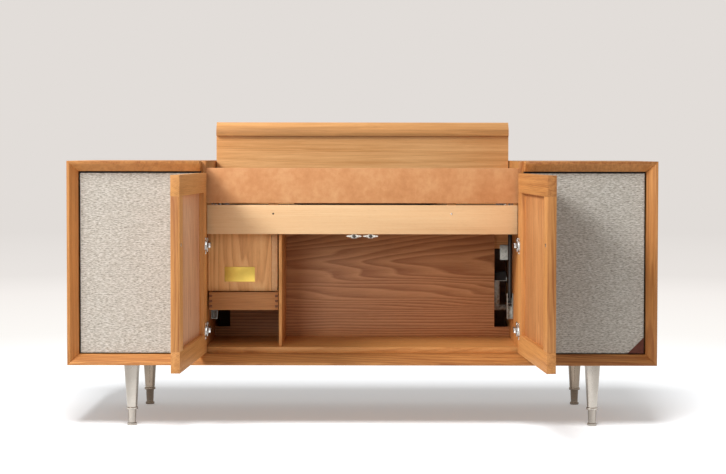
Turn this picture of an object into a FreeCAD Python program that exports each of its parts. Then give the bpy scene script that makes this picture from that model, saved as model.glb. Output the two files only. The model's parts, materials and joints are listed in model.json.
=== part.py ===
import FreeCAD, Part
import math
import os

# Record cabinet: a long mitred case on four tapered legs, with a loudspeaker behind cloth at
# each end, two doors over a record bay, and a lid over a well that holds a turntable.
# Lengths are millimetres. +X is to the right, +Z up, and the front faces -Y. The model is drawn
# with y = 0 at the front rim of the case, and moved at export so that the origin is on the
# floor under the middle of the cabinet with its doors open.

V = FreeCAD.Vector

# ---------------------------------------------------------------- case
case_w = 1830.0
case_h = 634.0
case_d = 552.0
leg_h = 194.5
board = 32.0            # thickness of the case boards
rim_flat = 8.5          # flat front edge of the rim, before its bevel
bevel_depth = 25.0
back_t = 8.0
back_inset = 14.0       # recess behind the back panel, which covers the jacks
connector_w = 170.0
connector_h = 90.0
connector_t = 3.0
inlet_w = 28.0
inlet_h = 21.0
socket_r = 5.0
socket_len = 8.0
socket_pitch = 24.0
socket_columns = 3
socket_x = 10.0
connector_lap = 12.0
inlet_margin = 20.0

# ---------------------------------------------------------------- legs
leg_top_r = 25.0
leg_ring_r = 18.5
leg_neck_r = 16.0       # cone radius just above the ring
leg_shank_r = 13.5
leg_toe_r = 11.5
leg_foot_r = 15.0
leg_foot_h = 7.5
leg_ring_z = 50.0
leg_ring_h = 7.0
leg_side = 193.0       # from the case's side to a leg's axis
leg_inset = 58.0        # from the front rim and from the back to a leg's axis
leg_stud_r = 5.0
leg_stud_len = 22.0

# ---------------------------------------------------------------- centre section
opening_w = 979.0
upright_t = 15.0
front_plane = 30.0      # front faces of the grilles and of the closed doors
centre_front = 60.0     # front ends of the uprights, the band and the apron
floor_t = 18.0
band_t = 12.0
band_h = 110.0
lid_seat_gap = 0.5      # closed lid to the band
apron_side_gap = 3.5
apron_h = 91.0
apron_gap = 6.0         # shadow gap between band and apron
cleat_w = 30.0
cleat_t = 18.0
cleat_h = 100.0
cleat_x = 279.0
screw_head_r = 3.0
screw_head_t = 1.0
screw_r = 2.0
screw_len = 26.0
screw_drop = 27.0       # below the apron's top edge
bay_back_y = 372.0
bay_back_t = 6.0
cutout_w = 50.5         # notch at each end of the bay's back panel
cutout_z = 32.0         # bottom of the notch above the floor board
left_bay_w = 227.2      # from the left upright to the divider
divider_t = 9.7
divider_setback = 15.0

# ---------------------------------------------------------------- deck for the turntable
bearer_h = 48.0
bearer_t = 30.0
bearer_front_gap = 24.0
bearer_rear_gap = 4.0
puck_r = 15.0
puck_h = 6.0
puck_in = 89.5          # from the opening's side to a puck's middle
deck_side_gap = 6.2     # to the caps of the lid's pivots
deck_t = 18.0
deck_top_drop = 6.5     # below the apron's top edge
deck_front_gap = 22.0
deck_rear_gap = 12.0    # to the open lid

# ---------------------------------------------------------------- doors and their hinges
door_t = 26.0
door_reveal = 1.5       # half the gap between the two closed doors
door_overlap = 13.0     # of a door's hinge edge past the opening
door_open_side = 3.5    # from the opening's side in to the inner face of a door open at 90 degrees
door_open_set = 12.0    # hinge edge of that door, in front of its inner face when shut
door_open = {"left": 93.3, "right": 94.1}     # degrees
panel_gap_top = 5.5     # gap above doors and grilles
panel_gap_bottom = 3.5
door_rail_h = 60.0
door_stile_w = 58.0
door_panel_t = 10.0
door_panel_inset = 2.0  # behind the front of the frame
door_edge_r = 2.0
hinge_up = (69.0, 335.0)    # above the door's lower edge
cup_r = 17.5
cup_depth = 13.5
cup_wall = 1.5
cup_inset = 22.0        # cup centre from the hinge edge
cup_fit = 0.1
wing_len = 52.0
wing_w = 13.0
wing_t = 1.5
link_out = 1.65         # the hinge's two links, past the hinge edge of the door
link_lap = 3.0          # and in over the rim of the cup
link_rise = 2.95
link_w = 2.2
link_side = 0.3         # to the hinge arm, which lies between them
arm_w = 14.0
arm_nose_in = 5.8       # from the opening's side to the hinge arm's front end
arm_rise = 15.0         # hinge arm, out from the upright
arm_tail = 10.0         # its height at the rear end
arm_len = 68.0
arm_end_gap = 0.3       # arm's front end to the bottom of the cup
arm_plate_w = 44.0
arm_plate_t = 3.0
arm_plate_len = 34.0
strike_r = 6.0
strike_t = 1.2

# ---------------------------------------------------------------- push catches
catch_x = 26.0
catch_w = 47.0
catch_h = 13.0
catch_body_w = 16.0
catch_body_len = 60.0
catch_flange_t = 3.0
catch_set = 2.0         # behind the apron's face
plunger_r = 5.2
plunger_nose = 1.8
plunger_fit = 0.08
plunger_len = 34.0
plunger_gap = 0.8       # to the strike of a closed door
plunger_travel = 5.0
plunger_spare = 2.0     # bore left behind a pressed plunger

# ---------------------------------------------------------------- lid
lid_gap = 3.5           # each side, to the uprights
lid_depth = 420.0
lid_t = 21.5
lip_w = 45.0
lid_stand = 127.0       # open lid above the case
lid_open_y = 400.0      # underside of the open lid
lid_rear_gap = 3.0
lid_edge_r = 1.5
undercut_extra = 26.0   # how far the fixed rear strip is cut back below
lid_arm_in = 25.5       # from the opening's side to the inner face of a lift arm
lid_arm_t = 5.0
lid_arm_h = 26.0
lid_arm_hub_r = 14.0
lid_foot_len = 84.0
lid_foot_w = 25.0
lid_foot_t = 3.5
pivot_r = 5.0
pivot_fit = 0.05
pivot_flange_r = 15.0
pivot_flange_t = 3.0
pivot_cap_r = 8.0
pivot_cap_t = 2.5
pivot_side = 0.3        # cap to the lift arm

# ---------------------------------------------------------------- gas struts
strut_in = 10.0         # from the opening's side to a strut's axis
strut_r = 7.0
strut_bore_r = 5.5
strut_arm = 30.0        # from the lid's pivot to the stud that the strut pushes
stud_r = 3.0
stud_head_r = 5.5
stud_head_t = 2.0
eye_side = 1.3          # stud's head to the eye, clear of the rod
eye_web = 1.0
stud_lug_r = 8.0
eye_t = 6.0
eye_h = 16.0
eye_clear = 1.2
rod_r = 4.0
rod_fit = 0.05
rod_len = 94.0
gland_len = 12.0
strut_foot_up = 139.5   # foot of the cylinder above the floor board
strut_head_down = 36.25 # top of the cylinder below the lid's pivot
strut_bracket_up = 71.5 # bracket above the floor board
strut_bracket_h = 83.0
strut_bracket_d = 24.0
strut_bracket_t = 2.5
strut_pin_up = 121.5    # pin above the floor board
strut_lug_gap = 1.0

# ---------------------------------------------------------------- rear ironwork
stop_h = 50.0
stop_lap = 12.5         # top of a stop above the lower edge of the open lid
stop_w = 30.5
stop_t = 3.0
stop_flange = 44.0
bumper_r = 4.5
bumper_t = 1.7
bumper_in = 8.0
bumper_drop = 1.0
bumper_gap = 0.3        # to the open lid
crossbar_up = 82.5      # above the floor board
crossbar_s = 18.0
crossbar_t = 2.5
crossbar_y = 425.0
post_in = 46.5          # from the opening's side to the far face of a post
post_w = 18.0
post_h = 80.0
saddle_w = 45.0         # steel saddle on each post, which holds a rubber block
saddle_d = 30.0
saddle_h = 14.0
saddle_t = 3.0
buffer_h = 30.0
buffer_r = 5.0

# ---------------------------------------------------------------- left bay
amp_front = 115.0
amp_cover_t = 12.0
amp_side_t = 18.4
amp_side_gap = 6.3      # to the divider
amp_cover_side = 1.5    # cover to the upright
amp_cover_gap = 0.5     # cover to the side board
amp_up = 171.5          # electronics box above the floor board
amp_shelf_t = 12.0
amp_clear = 22.0        # from the upright, where the strut passes
amp_unit_w = 150.0
amp_unit_d = 180.0
amp_unit_h = 80.0
amp_behind = 16.0       # amplifier behind the cover
fin_n = 9
fin_t = 3.0
fin_h = 22.0
fin_margin = 9.0
plate_w = 96.0
plate_h = 47.0
plate_t = 1.5
plate_in = 101.5        # from the left upright to the middle of the brass plate
plate_up = 53.5         # middle of the brass plate above the lower edge of the cover
tray_front = 100.0
tray_depth = 130.0
tray_h = 56.5
tray_side_gap = 5.5
tray_divider_gap = 3.0
tray_wall = 10.0
tray_floor_t = 5.0
tray_top_gap = 2.0
tray_fit = 0.3
tray_runner_h = 8.0
tray_runner_in = 3.5    # how far a runner reaches into the tray's side
tray_groove_gap = 0.5
tray_groove_stop = 14.0 # groove's front end, behind the tray's front

# ---------------------------------------------------------------- loudspeakers
grille_gap = 5.0        # to the case side
grille_door_gap = 11.5  # hinge edge of a closed door to the grille
grille_t = 16.5
cloth_t = 1.5
grille_border = 35.0
baffle_gap = 4.0        # grille frame to baffle
baffle_t = 18.0
peg_r = 5.0
tab_leg = 50.0
tab_t = 1.4
woofer_r = 126.0
woofer_hole_r = 115.0
woofer_cone_r = 98.0
woofer_depth = 118.0
magnet_r = 62.0
magnet_t = 36.0
woofer_up = 168.0       # above the bottom board
tweeter_r = 52.0
tweeter_hole_r = 40.0
tweeter_depth = 48.0
tweeter_up = 420.0
flange_t = 4.0
driver_gap = 1.0        # driver to the edge of its hole
woofer_dish = 48.0
tweeter_cone_r = 34.0
tweeter_throat_r = 5.0
tweeter_dish = 22.0

# ---------------------------------------------------------------- turntable
platter_x = -40.0
platter_y = 226.0
platter_r = 145.0
platter_h = 18.0
platter_gap = 4.0
spindle_r = 3.6
spindle_h = 12.0
bearing_r = 9.0
bearing_len = 22.0
bearing_fit = 0.05
bearing_end = 0.3       # running gap under the bearing shaft
plinth_w = 450.0
plinth_d = 292.0
plinth_h = 28.0
plinth_r = 8.0
plinth_x = 10.0
plinth_y = 86.0
foot_h = 9.0
foot_r = 18.0
foot_inset = 36.0
arm_base_r = 24.0
arm_base_h = 18.0
arm_x = 148.0
arm_y = 300.0
arm_post_r = 7.0
arm_fit = 0.08
arm_tube_r = 4.5
arm_tube_len = 182.0
arm_stub_len = 34.0
arm_stub_r = 3.5
arm_head_r = 11.0
arm_head_h = 14.0
arm_over = 14.0         # tube's axis above the platter
arm_rest_from = 100.0   # rest in front of the arm's post
weight_r = 13.0
weight_len = 24.0
shell_w = 18.0
shell_len = 34.0
shell_t = 3.0
shell_lap = 2.0
pickup_w = 12.0
pickup_len = 20.0
pickup_h = 10.5
pickup_in = 6.0
rest_r = 4.0
rest_w = 14.0
rest_t = 1.8
rest_lift = 0.3         # cradle to the tube
knob_r = 12.0
knob_h = 9.0
knob_stem_r = 3.0
knob_stem_len = 12.0
knob_x = -180.0
knob_y = 105.0

# ---------------------------------------------------------------- derived places
half_w = case_w / 2
case_z0 = leg_h
case_z1 = leg_h + case_h
in_x = half_w - board
in_z0 = case_z0 + board
in_z1 = case_z1 - board
open_x = opening_w / 2
apron_x = open_x - apron_side_gap
divider_x = left_bay_w - open_x
plate_x = plate_in - open_x
puck_x = open_x - puck_in
post_x = open_x - post_in
strut_x = open_x - strut_in
lid_arm_x = open_x - lid_arm_in
pivot_cap_x = lid_arm_x - pivot_side - pivot_cap_t
deck_x = pivot_cap_x - deck_side_gap
leg_x = half_w - leg_side
post_out_x = open_x + upright_t
floor_z = in_z0 + floor_t
back_y = case_d - back_inset - back_t
panel_z0 = in_z0 + panel_gap_bottom
panel_z1 = in_z1 - panel_gap_top
lid_z = case_z1 - lid_t
band_z1 = lid_z - lid_seat_gap
band_z0 = band_z1 - band_h
apron_z1 = band_z0 - apron_gap
apron_z0 = apron_z1 - apron_h
centre_back = centre_front + band_t
deck_z1 = apron_z1 - deck_top_drop
deck_z0 = deck_z1 - deck_t
bearer_z1 = deck_z0 - puck_h
bearer_z0 = bearer_z1 - bearer_h
bearer_y = (centre_back + bearer_front_gap, bay_back_y - bearer_rear_gap - bearer_t)

# The lid turns on one axis across the well, found from where it lies shut and where it stands open.
pivot_y = (case_z1 + lid_stand - (lid_z - lid_open_y)) / 2
pivot_z = (case_z1 + lid_stand + (lid_z - lid_open_y)) / 2
half_chord = strut_arm * math.sin(math.radians(45))
strut_foot_z = floor_z + strut_foot_up
strut_head_z = pivot_z - strut_head_down
strut_bracket_z = floor_z + strut_bracket_up
strut_pin_z = floor_z + strut_pin_up
stop_z1 = case_z1 + lid_stand - lid_depth + stop_lap
crossbar_z = floor_z + crossbar_up
amp_z = floor_z + amp_up
plate_z = amp_z + plate_up
strut_sag = strut_arm - half_chord
strut_y = pivot_y - half_chord - strut_sag / 2

# A door turns on one upright axis, found from where its faces lie shut and open at 90 degrees.
door_edge_x = open_x + door_overlap
door_back = front_plane + door_t
door_sum = door_t - door_open_set
door_dif = door_edge_x - (open_x - door_open_side) - door_t
hinge_in = (door_sum + door_dif) / 2
hinge_back = (door_sum - door_dif) / 2
hinge_x = door_edge_x - hinge_in
hinge_y = front_plane + hinge_back


def door_front(y, degrees):
    """How far forward the free edge reaches at depth y of a door opened by so many degrees."""
    a = math.radians(degrees)
    return (hinge_x - door_reveal) * math.sin(a) - (y - hinge_y) * math.cos(a) - hinge_y


door_reach = max(door_front(y, degrees) for y in (front_plane, door_back)
                 for degrees in door_open.values())
shift_y = (door_reach - case_d) / 2


# ---------------------------------------------------------------- helpers
def box(x0, x1, y0, y1, z0, z1):
    return Part.makeBox(x1 - x0, y1 - y0, z1 - z0, V(x0, y0, z0))


def cyl(radius, length, x, y, z, direction=V(0, 0, 1)):
    return Part.makeCylinder(radius, length, V(x, y, z), direction)


def cone(r0, r1, length, x, y, z, direction=V(0, 0, 1)):
    return Part.makeCone(r0, r1, length, V(x, y, z), direction)


def prism_x(points, x0, x1):
    """A solid with the given (y, z) outline from x0 to x1."""
    wire = Part.makePolygon([V(x0, y, z) for y, z in points + points[:1]])
    return Part.Face(wire).extrude(V(x1 - x0, 0, 0))


def prism_y(points, y0, y1):
    """A solid with the given (x, z) outline from y0 to y1."""
    wire = Part.makePolygon([V(x, y0, z) for x, z in points + points[:1]])
    return Part.Face(wire).extrude(V(0, y1 - y0, 0))


def prism_z(points, z0, z1):
    """A solid with the given (x, y) outline from z0 to z1."""
    wire = Part.makePolygon([V(x, y, z0) for x, y in points + points[:1]])
    return Part.Face(wire).extrude(V(0, 0, z1 - z0))


def fuse(first, *others):
    return first.fuse(list(others)).removeSplitter()


def mirrored(shape):
    return shape.mirror(V(0, 0, 0), V(1, 0, 0))


def group(*shapes):
    solids = [solid for shape in shapes for solid in shape.Solids]
    return solids[0] if len(solids) == 1 else Part.makeCompound(solids)


def both_sides(shape):
    return group(shape, mirrored(shape))


def save(node, shape):
    moved = shape.copy()
    moved.translate(V(0, shift_y, 0))
    moved.exportStep("parts/%s.step" % node)


# ---------------------------------------------------------------- case
def rim_outline(inner, outer):
    """Front-to-back section of a case board, from its inner face to its outer face."""
    step = 1 if outer > inner else -1
    return [(0, outer), (case_d, outer), (case_d, inner),
            (bevel_depth, inner), (0, outer - step * rim_flat)]


def make_case():
    corner_lo, corner_hi = case_z0 + board, case_z1 - board
    bottom = prism_x(rim_outline(in_z0, case_z0), -half_w, half_w)
    bottom = bottom.common(prism_y([(-half_w, case_z0), (half_w, case_z0),
                                    (in_x, corner_lo), (-in_x, corner_lo)], 0, case_d))
    for x in (-leg_x, leg_x):
        for y in (leg_inset, case_d - leg_inset):
            bottom = bottom.cut(cyl(leg_stud_r, leg_stud_len, x, y, case_z0))
    save("case_bottom", bottom)
    top = prism_x(rim_outline(in_z1, case_z1), -half_w, -post_out_x)
    top = top.common(prism_y([(-half_w, case_z1), (-post_out_x, case_z1),
                              (-post_out_x, corner_hi), (-in_x, corner_hi)], 0, case_d))
    side = prism_z([(-half_w, 0), (-half_w, case_d), (-in_x, case_d),
                    (-in_x, bevel_depth), (-half_w + rim_flat, 0)], case_z0, case_z1)
    side = side.common(prism_y([(-half_w, case_z0), (-in_x, corner_lo),
                                (-in_x, corner_hi), (-half_w, case_z1)], 0, case_d))
    save("case_top_left", top)
    save("case_top_right", mirrored(top))
    save("case_side_left", side)
    save("case_side_right", mirrored(side))
    strip_y = lid_depth + lid_rear_gap
    strip = prism_x([(strip_y, case_z1), (back_y, case_z1), (back_y, in_z1),
                     (strip_y + undercut_extra, in_z1)], -open_x, open_x)
    strip = fuse(strip, box(-post_out_x, post_out_x, back_y, case_d, in_z1, case_z1))
    save("case_top_rear", strip)


def make_back():
    middle = (in_z0 + in_z1) / 2
    hole_w, hole_h = connector_w / 2 - connector_lap, connector_h / 2 - connector_lap
    hole = box(-hole_w, hole_w, back_y, back_y + back_t, middle - hole_h, middle + hole_h)
    save("case_back", box(-in_x, in_x, back_y, back_y + back_t, in_z0, in_z1).cut(hole))
    plate_y = back_y + back_t
    plate = box(-connector_w / 2, connector_w / 2, plate_y, plate_y + connector_t,
                middle - connector_h / 2, middle + connector_h / 2)
    inlet_x = -connector_w / 2 + inlet_margin
    plate = plate.cut(box(inlet_x, inlet_x + inlet_w, plate_y, plate_y + connector_t,
                          middle - inlet_h / 2, middle + inlet_h / 2))
    for column in range(socket_columns):
        for row in (-0.5, 0.5):
            plate = plate.fuse(cyl(socket_r, connector_t + socket_len,
                                   socket_x + column * socket_pitch, plate_y,
                                   middle + row * socket_pitch, V(0, 1, 0)))
    save("connector_plate", plate.removeSplitter())


def make_legs():
    for side, x in (("left", -leg_x), ("right", leg_x)):
        for end, y in (("front", leg_inset), ("rear", case_d - leg_inset)):
            z = leg_foot_h
            ring_z1 = leg_ring_z + leg_ring_h
            leg = fuse(cyl(leg_foot_r, leg_foot_h, x, y, 0),
                       cone(leg_toe_r, leg_shank_r, leg_ring_z - z, x, y, z),
                       cyl(leg_ring_r, leg_ring_h, x, y, leg_ring_z),
                       cone(leg_neck_r, leg_top_r, leg_h - ring_z1, x, y, ring_z1),
                       cyl(leg_stud_r, leg_stud_len, x, y, leg_h))
            save("leg_%s_%s" % (end, side), leg)


# ---------------------------------------------------------------- centre section
def make_centre():
    upright = box(open_x, post_out_x, centre_front, back_y, in_z0, case_z1)
    save("uprights", both_sides(upright))
    save("bay_floor", box(-open_x, open_x, centre_front, back_y, in_z0, floor_z))
    save("front_band", box(-open_x, open_x, centre_front, centre_back, band_z0, band_z1))
    apron = box(-apron_x, apron_x, centre_front, centre_back, apron_z0, apron_z1)
    cleat_z1 = band_z0 + cleat_h / 2
    cleats, screws = [], []
    for x in (-cleat_x, cleat_x):
        z = apron_z1 - screw_drop
        screw = fuse(cyl(screw_head_r, screw_head_t, x, centre_front - screw_head_t, z, V(0, 1, 0)),
                     cyl(screw_r, screw_len, x, centre_front, z, V(0, 1, 0)))
        shank = cyl(screw_r, screw_len, x, centre_front, z, V(0, 1, 0))
        apron = apron.cut(shank)
        cleat = box(x - cleat_w / 2, x + cleat_w / 2, centre_back, centre_back + cleat_t,
                    cleat_z1 - cleat_h, cleat_z1)
        cleats.append(cleat.cut(shank))
        screws.append(screw)
    save("apron", apron)
    save("apron_screws", group(*screws))
    bearers = [box(-open_x, open_x, y, y + bearer_t, bearer_z0, bearer_z1) for y in bearer_y]
    save("well_supports", group(*(cleats + bearers)))
    pucks = [cyl(puck_r, puck_h, x, y + bearer_t / 2, bearer_z1)
             for x in (-puck_x, puck_x) for y in bearer_y]
    save("isolation_pucks", group(*pucks))
    save("turntable_deck", box(-deck_x, deck_x, centre_back + deck_front_gap,
                               lid_open_y - deck_rear_gap, deck_z0, deck_z1))
    low = box(-open_x, open_x, bay_back_y, bay_back_y + bay_back_t, floor_z, floor_z + cutout_z)
    high = box(-open_x + cutout_w, open_x - cutout_w, bay_back_y, bay_back_y + bay_back_t,
               floor_z, bearer_z1)
    save("bay_back", fuse(low, high))
    save("bay_divider", box(divider_x, divider_x + divider_t, centre_front + divider_setback,
                            bay_back_y, floor_z, bearer_z0))


def make_left_bay():
    side_x1 = divider_x - amp_side_gap
    side_x0 = side_x1 - amp_side_t
    cover_x0, cover_x1 = -open_x + amp_cover_side, side_x0 - amp_cover_gap
    top = bearer_z0
    cover_y1 = amp_front + amp_cover_t
    save("electronics_cover", box(cover_x0, cover_x1, amp_front, cover_y1, amp_z, top))
    shelf_x0 = -open_x + amp_clear
    side = box(side_x0, side_x1, amp_front, bay_back_y, amp_z, top)
    shelf = box(shelf_x0, side_x0, cover_y1, bay_back_y, amp_z, amp_z + amp_shelf_t)
    save("electronics_box", group(side, shelf))
    wide, deep, high = amp_unit_w, amp_unit_d, amp_unit_h
    amp_x0 = (shelf_x0 + side_x0 - wide) / 2
    amp_y0 = cover_y1 + amp_behind
    amp_z0 = amp_z + amp_shelf_t
    amp = box(amp_x0, amp_x0 + wide, amp_y0, amp_y0 + deep, amp_z0, amp_z0 + high)
    for i in range(fin_n):
        x = amp_x0 + fin_margin + i * (wide - 2 * fin_margin - fin_t) / (fin_n - 1)
        amp = amp.fuse(box(x, x + fin_t, amp_y0 + fin_margin, amp_y0 + deep - fin_margin,
                           amp_z0 + high, amp_z0 + high + fin_h))
    save("amplifier", amp.removeSplitter())
    save("brass_plate", box(plate_x - plate_w / 2, plate_x + plate_w / 2, amp_front - plate_t,
                            amp_front, plate_z - plate_h / 2, plate_z + plate_h / 2))
    x0, x1 = -open_x + tray_side_gap, divider_x - tray_divider_gap
    y0, y1 = tray_front, tray_front + tray_depth
    z1 = amp_z - tray_top_gap
    z0 = z1 - tray_h
    inside = box(x0 + tray_wall, x1 - tray_wall, y0 + tray_wall, y1 - tray_wall,
                 z0 + tray_floor_t, z1)
    middle = (z0 + z1) / 2
    half = tray_runner_h / 2
    stop_y = y0 + tray_groove_stop
    depth = tray_runner_in + tray_groove_gap
    tray = box(x0, x1, y0, y1, z0, z1).cut(inside)
    for side_x in (x0, x1 - depth):
        tray = tray.cut(box(side_x, side_x + depth, stop_y, y1,
                            middle - half - tray_fit, middle + half + tray_fit))
    save("record_tray", tray)
    runner_y0 = stop_y + tray_groove_gap
    save("tray_runners", group(
        box(-open_x, x0 + tray_runner_in, runner_y0, y1, middle - half, middle + half),
        box(x1 - tray_runner_in, divider_x, runner_y0, y1, middle - half, middle + half)))


# ---------------------------------------------------------------- doors
def cup_place(z):
    """Centre of a hinge cup's mouth in the closed left door."""
    return -door_edge_x + cup_inset, door_back, panel_z0 + z


def open_door(shape, degrees):
    moved = shape.copy()
    moved.rotate(V(-hinge_x, hinge_y, 0), V(0, 0, 1), -degrees)
    return moved


def make_doors():
    x0, x1 = -door_edge_x, -door_reveal
    rails = [box(x0, x1, front_plane, door_back, panel_z0, panel_z0 + door_rail_h),
             box(x0, x1, front_plane, door_back, panel_z1 - door_rail_h, panel_z1)]
    stile_z0, stile_z1 = panel_z0 + door_rail_h, panel_z1 - door_rail_h
    stiles = [box(x0, x0 + door_stile_w, front_plane, door_back, stile_z0, stile_z1),
              box(x1 - door_stile_w, x1, front_plane, door_back, stile_z0, stile_z1)]
    panel_y = front_plane + door_panel_inset
    panel = box(x0 + door_stile_w, x1 - door_stile_w, panel_y, panel_y + door_panel_t,
                stile_z0, stile_z1)
    frame = []
    for piece in rails + stiles:
        upright_edges = [e for e in piece.Edges if abs(e.tangentAt(e.FirstParameter).z) > 0.9
                         and abs(e.Vertexes[0].X - x0) < 0.01]
        if upright_edges:
            piece = piece.makeFillet(door_edge_r, upright_edges)
        for z in hinge_up:
            cx, cy, cz = cup_place(z)
            piece = piece.cut(cyl(cup_r + cup_fit, cup_depth + cup_fit, cx, cy, cz, V(0, -1, 0)))
        frame.append(piece)
    metal = []
    for z in hinge_up:
        cx, cy, cz = cup_place(z)
        pot = cyl(cup_r, cup_depth, cx, cy, cz, V(0, -1, 0))
        wing = box(cx - wing_w / 2, cx + wing_w / 2, cy, cy + wing_t,
                   cz - wing_len / 2, cz + wing_len / 2)
        rim = cyl(cup_r + cup_wall, wing_t, cx, cy, cz, V(0, 1, 0))
        hollow = cyl(cup_r - cup_wall, cup_depth - cup_wall + wing_t, cx, cy + wing_t, cz,
                     V(0, -1, 0))
        links = [box(x0 - link_out, cx - cup_r + link_lap, cy, cy + link_rise, z0, z0 + link_w)
                 for z0 in (cz + arm_w / 2 + link_side, cz - arm_w / 2 - link_side - link_w)]
        metal.append(fuse(pot, wing, rim, *links).cut(hollow))
    strike_z = apron_z0 - catch_h / 2
    metal.append(cyl(strike_r, strike_t, -catch_x, door_back, strike_z, V(0, 1, 0)))
    for name, shape in (("door_frame", group(*frame)), ("door_panel", panel),
                        ("door_hardware", group(*metal))):
        save(name + "_left", open_door(shape, door_open["left"]))
        save(name + "_right", mirrored(open_door(shape, door_open["right"])))


def make_hinge_arms():
    """Fixed halves of the hinges: a plate on the upright, and an arm that ends in a shut door's cup."""
    arms = []
    y0 = door_back - cup_depth + cup_wall + arm_end_gap
    y1 = y0 + arm_len
    plate_y0 = y1 - arm_plate_len
    wall = -open_x
    outline = [(wall + arm_nose_in, y0), (wall + arm_rise, y0), (wall + arm_rise, plate_y0),
               (wall + arm_tail, y1), (wall, y1), (wall, centre_front), (wall + arm_nose_in, centre_front)]
    for z in hinge_up:
        cz = panel_z0 + z
        plate = box(wall, wall + arm_plate_t, plate_y0, y1, cz - arm_plate_w / 2, cz + arm_plate_w / 2)
        arms.append(fuse(plate, prism_z(outline, cz - arm_w / 2, cz + arm_w / 2)))
    save("hinge_arms", both_sides(group(*arms)))


def make_catches():
    bodies = []
    z1 = apron_z0
    tip_y = door_back + strike_t + plunger_gap
    flange_y = centre_front + catch_set
    axis_z = z1 - catch_h / 2
    for side, x in (("left", -catch_x), ("right", catch_x)):
        half = catch_w / 2
        r = catch_h / 2
        flange = fuse(box(x - half + r, x + half - r, flange_y, flange_y + catch_flange_t,
                          z1 - catch_h, z1),
                      cyl(r, catch_flange_t, x - half + r, flange_y, axis_z, V(0, 1, 0)),
                      cyl(r, catch_flange_t, x + half - r, flange_y, axis_z, V(0, 1, 0)))
        body = box(x - catch_body_w / 2, x + catch_body_w / 2, flange_y + catch_flange_t,
                   flange_y + catch_body_len, z1 - catch_h, z1)
        bore_len = tip_y + plunger_len + plunger_travel + plunger_spare - flange_y
        bore = cyl(plunger_r + plunger_fit, bore_len, x, flange_y, axis_z, V(0, 1, 0))
        bodies.append(fuse(flange, body).cut(bore))
        plunger = fuse(cone(plunger_r - plunger_nose, plunger_r, plunger_nose, x, tip_y, axis_z,
                            V(0, 1, 0)),
                       cyl(plunger_r, plunger_len - plunger_nose, x, tip_y + plunger_nose, axis_z,
                           V(0, 1, 0)))
        save("catch_plunger_" + side, plunger)
    save("catch_bodies", group(*bodies))


# ---------------------------------------------------------------- lid and lift
def open_lid(shape):
    moved = shape.copy()
    moved.rotate(V(0, pivot_y, pivot_z), V(1, 0, 0), -90)
    return moved


def make_lid():
    x1 = open_x - lid_gap
    lid = prism_x([(0, case_z1), (lid_depth, case_z1), (lid_depth, lid_z), (lip_w, lid_z),
                   (lip_w, in_z1), (bevel_depth, in_z1), (0, case_z1 - rim_flat)], -x1, x1)
    rear = [e for e in lid.Edges
            if all(abs(v.Y - lid_depth) < 0.01 for v in e.Vertexes) and e.Length > x1]
    save("lid", open_lid(lid.makeFillet(lid_edge_r, rear)))
    plate = [cyl(lid_arm_hub_r, lid_arm_t, lid_arm_x, pivot_y, pivot_z, V(1, 0, 0))]
    foot_y0 = lid_open_y - lid_foot_t
    plate.append(box(lid_arm_x, lid_arm_x + lid_arm_t, pivot_y, foot_y0,
                     pivot_z - lid_arm_h / 2, pivot_z + lid_arm_h / 2))
    plate.append(box(lid_arm_x + lid_arm_t - lid_foot_w, lid_arm_x + lid_arm_t, foot_y0,
                     lid_open_y, pivot_z - lid_foot_len / 2, pivot_z + lid_foot_len / 2))
    stud_y, stud_z = pivot_y - half_chord, pivot_z + half_chord
    nx = stud_lug_r * math.sin(math.radians(45))
    hub = lid_arm_hub_r * math.sin(math.radians(45))
    plate.append(prism_x([(stud_y - nx, stud_z - nx), (stud_y + nx, stud_z + nx),
                          (pivot_y + hub, pivot_z + hub), (pivot_y - hub, pivot_z - hub)],
                         lid_arm_x, lid_arm_x + lid_arm_t))
    plate.append(cyl(stud_lug_r, lid_arm_t, lid_arm_x, stud_y, stud_z, V(1, 0, 0)))
    eye_x1 = strut_x + eye_t / 2 + eye_side
    plate.append(cyl(stud_r, eye_x1 - lid_arm_x, lid_arm_x, stud_y, stud_z, V(1, 0, 0)))
    plate.append(cyl(stud_head_r, stud_head_t, eye_x1, stud_y, stud_z, V(1, 0, 0)))
    arm = fuse(*plate).cut(cyl(pivot_r + pivot_fit, lid_arm_t, lid_arm_x, pivot_y, pivot_z,
                               V(1, 0, 0)))
    save("lid_arms", both_sides(arm))
    pin_x = pivot_cap_x + pivot_cap_t
    pivot = fuse(cyl(pivot_flange_r, pivot_flange_t, open_x - pivot_flange_t, pivot_y, pivot_z,
                     V(1, 0, 0)),
                 cyl(pivot_r, open_x - pin_x, pin_x, pivot_y, pivot_z, V(1, 0, 0)),
                 cyl(pivot_cap_r, pivot_cap_t, pivot_cap_x, pivot_y, pivot_z, V(1, 0, 0)))
    save("lid_pivots", both_sides(pivot))


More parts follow.
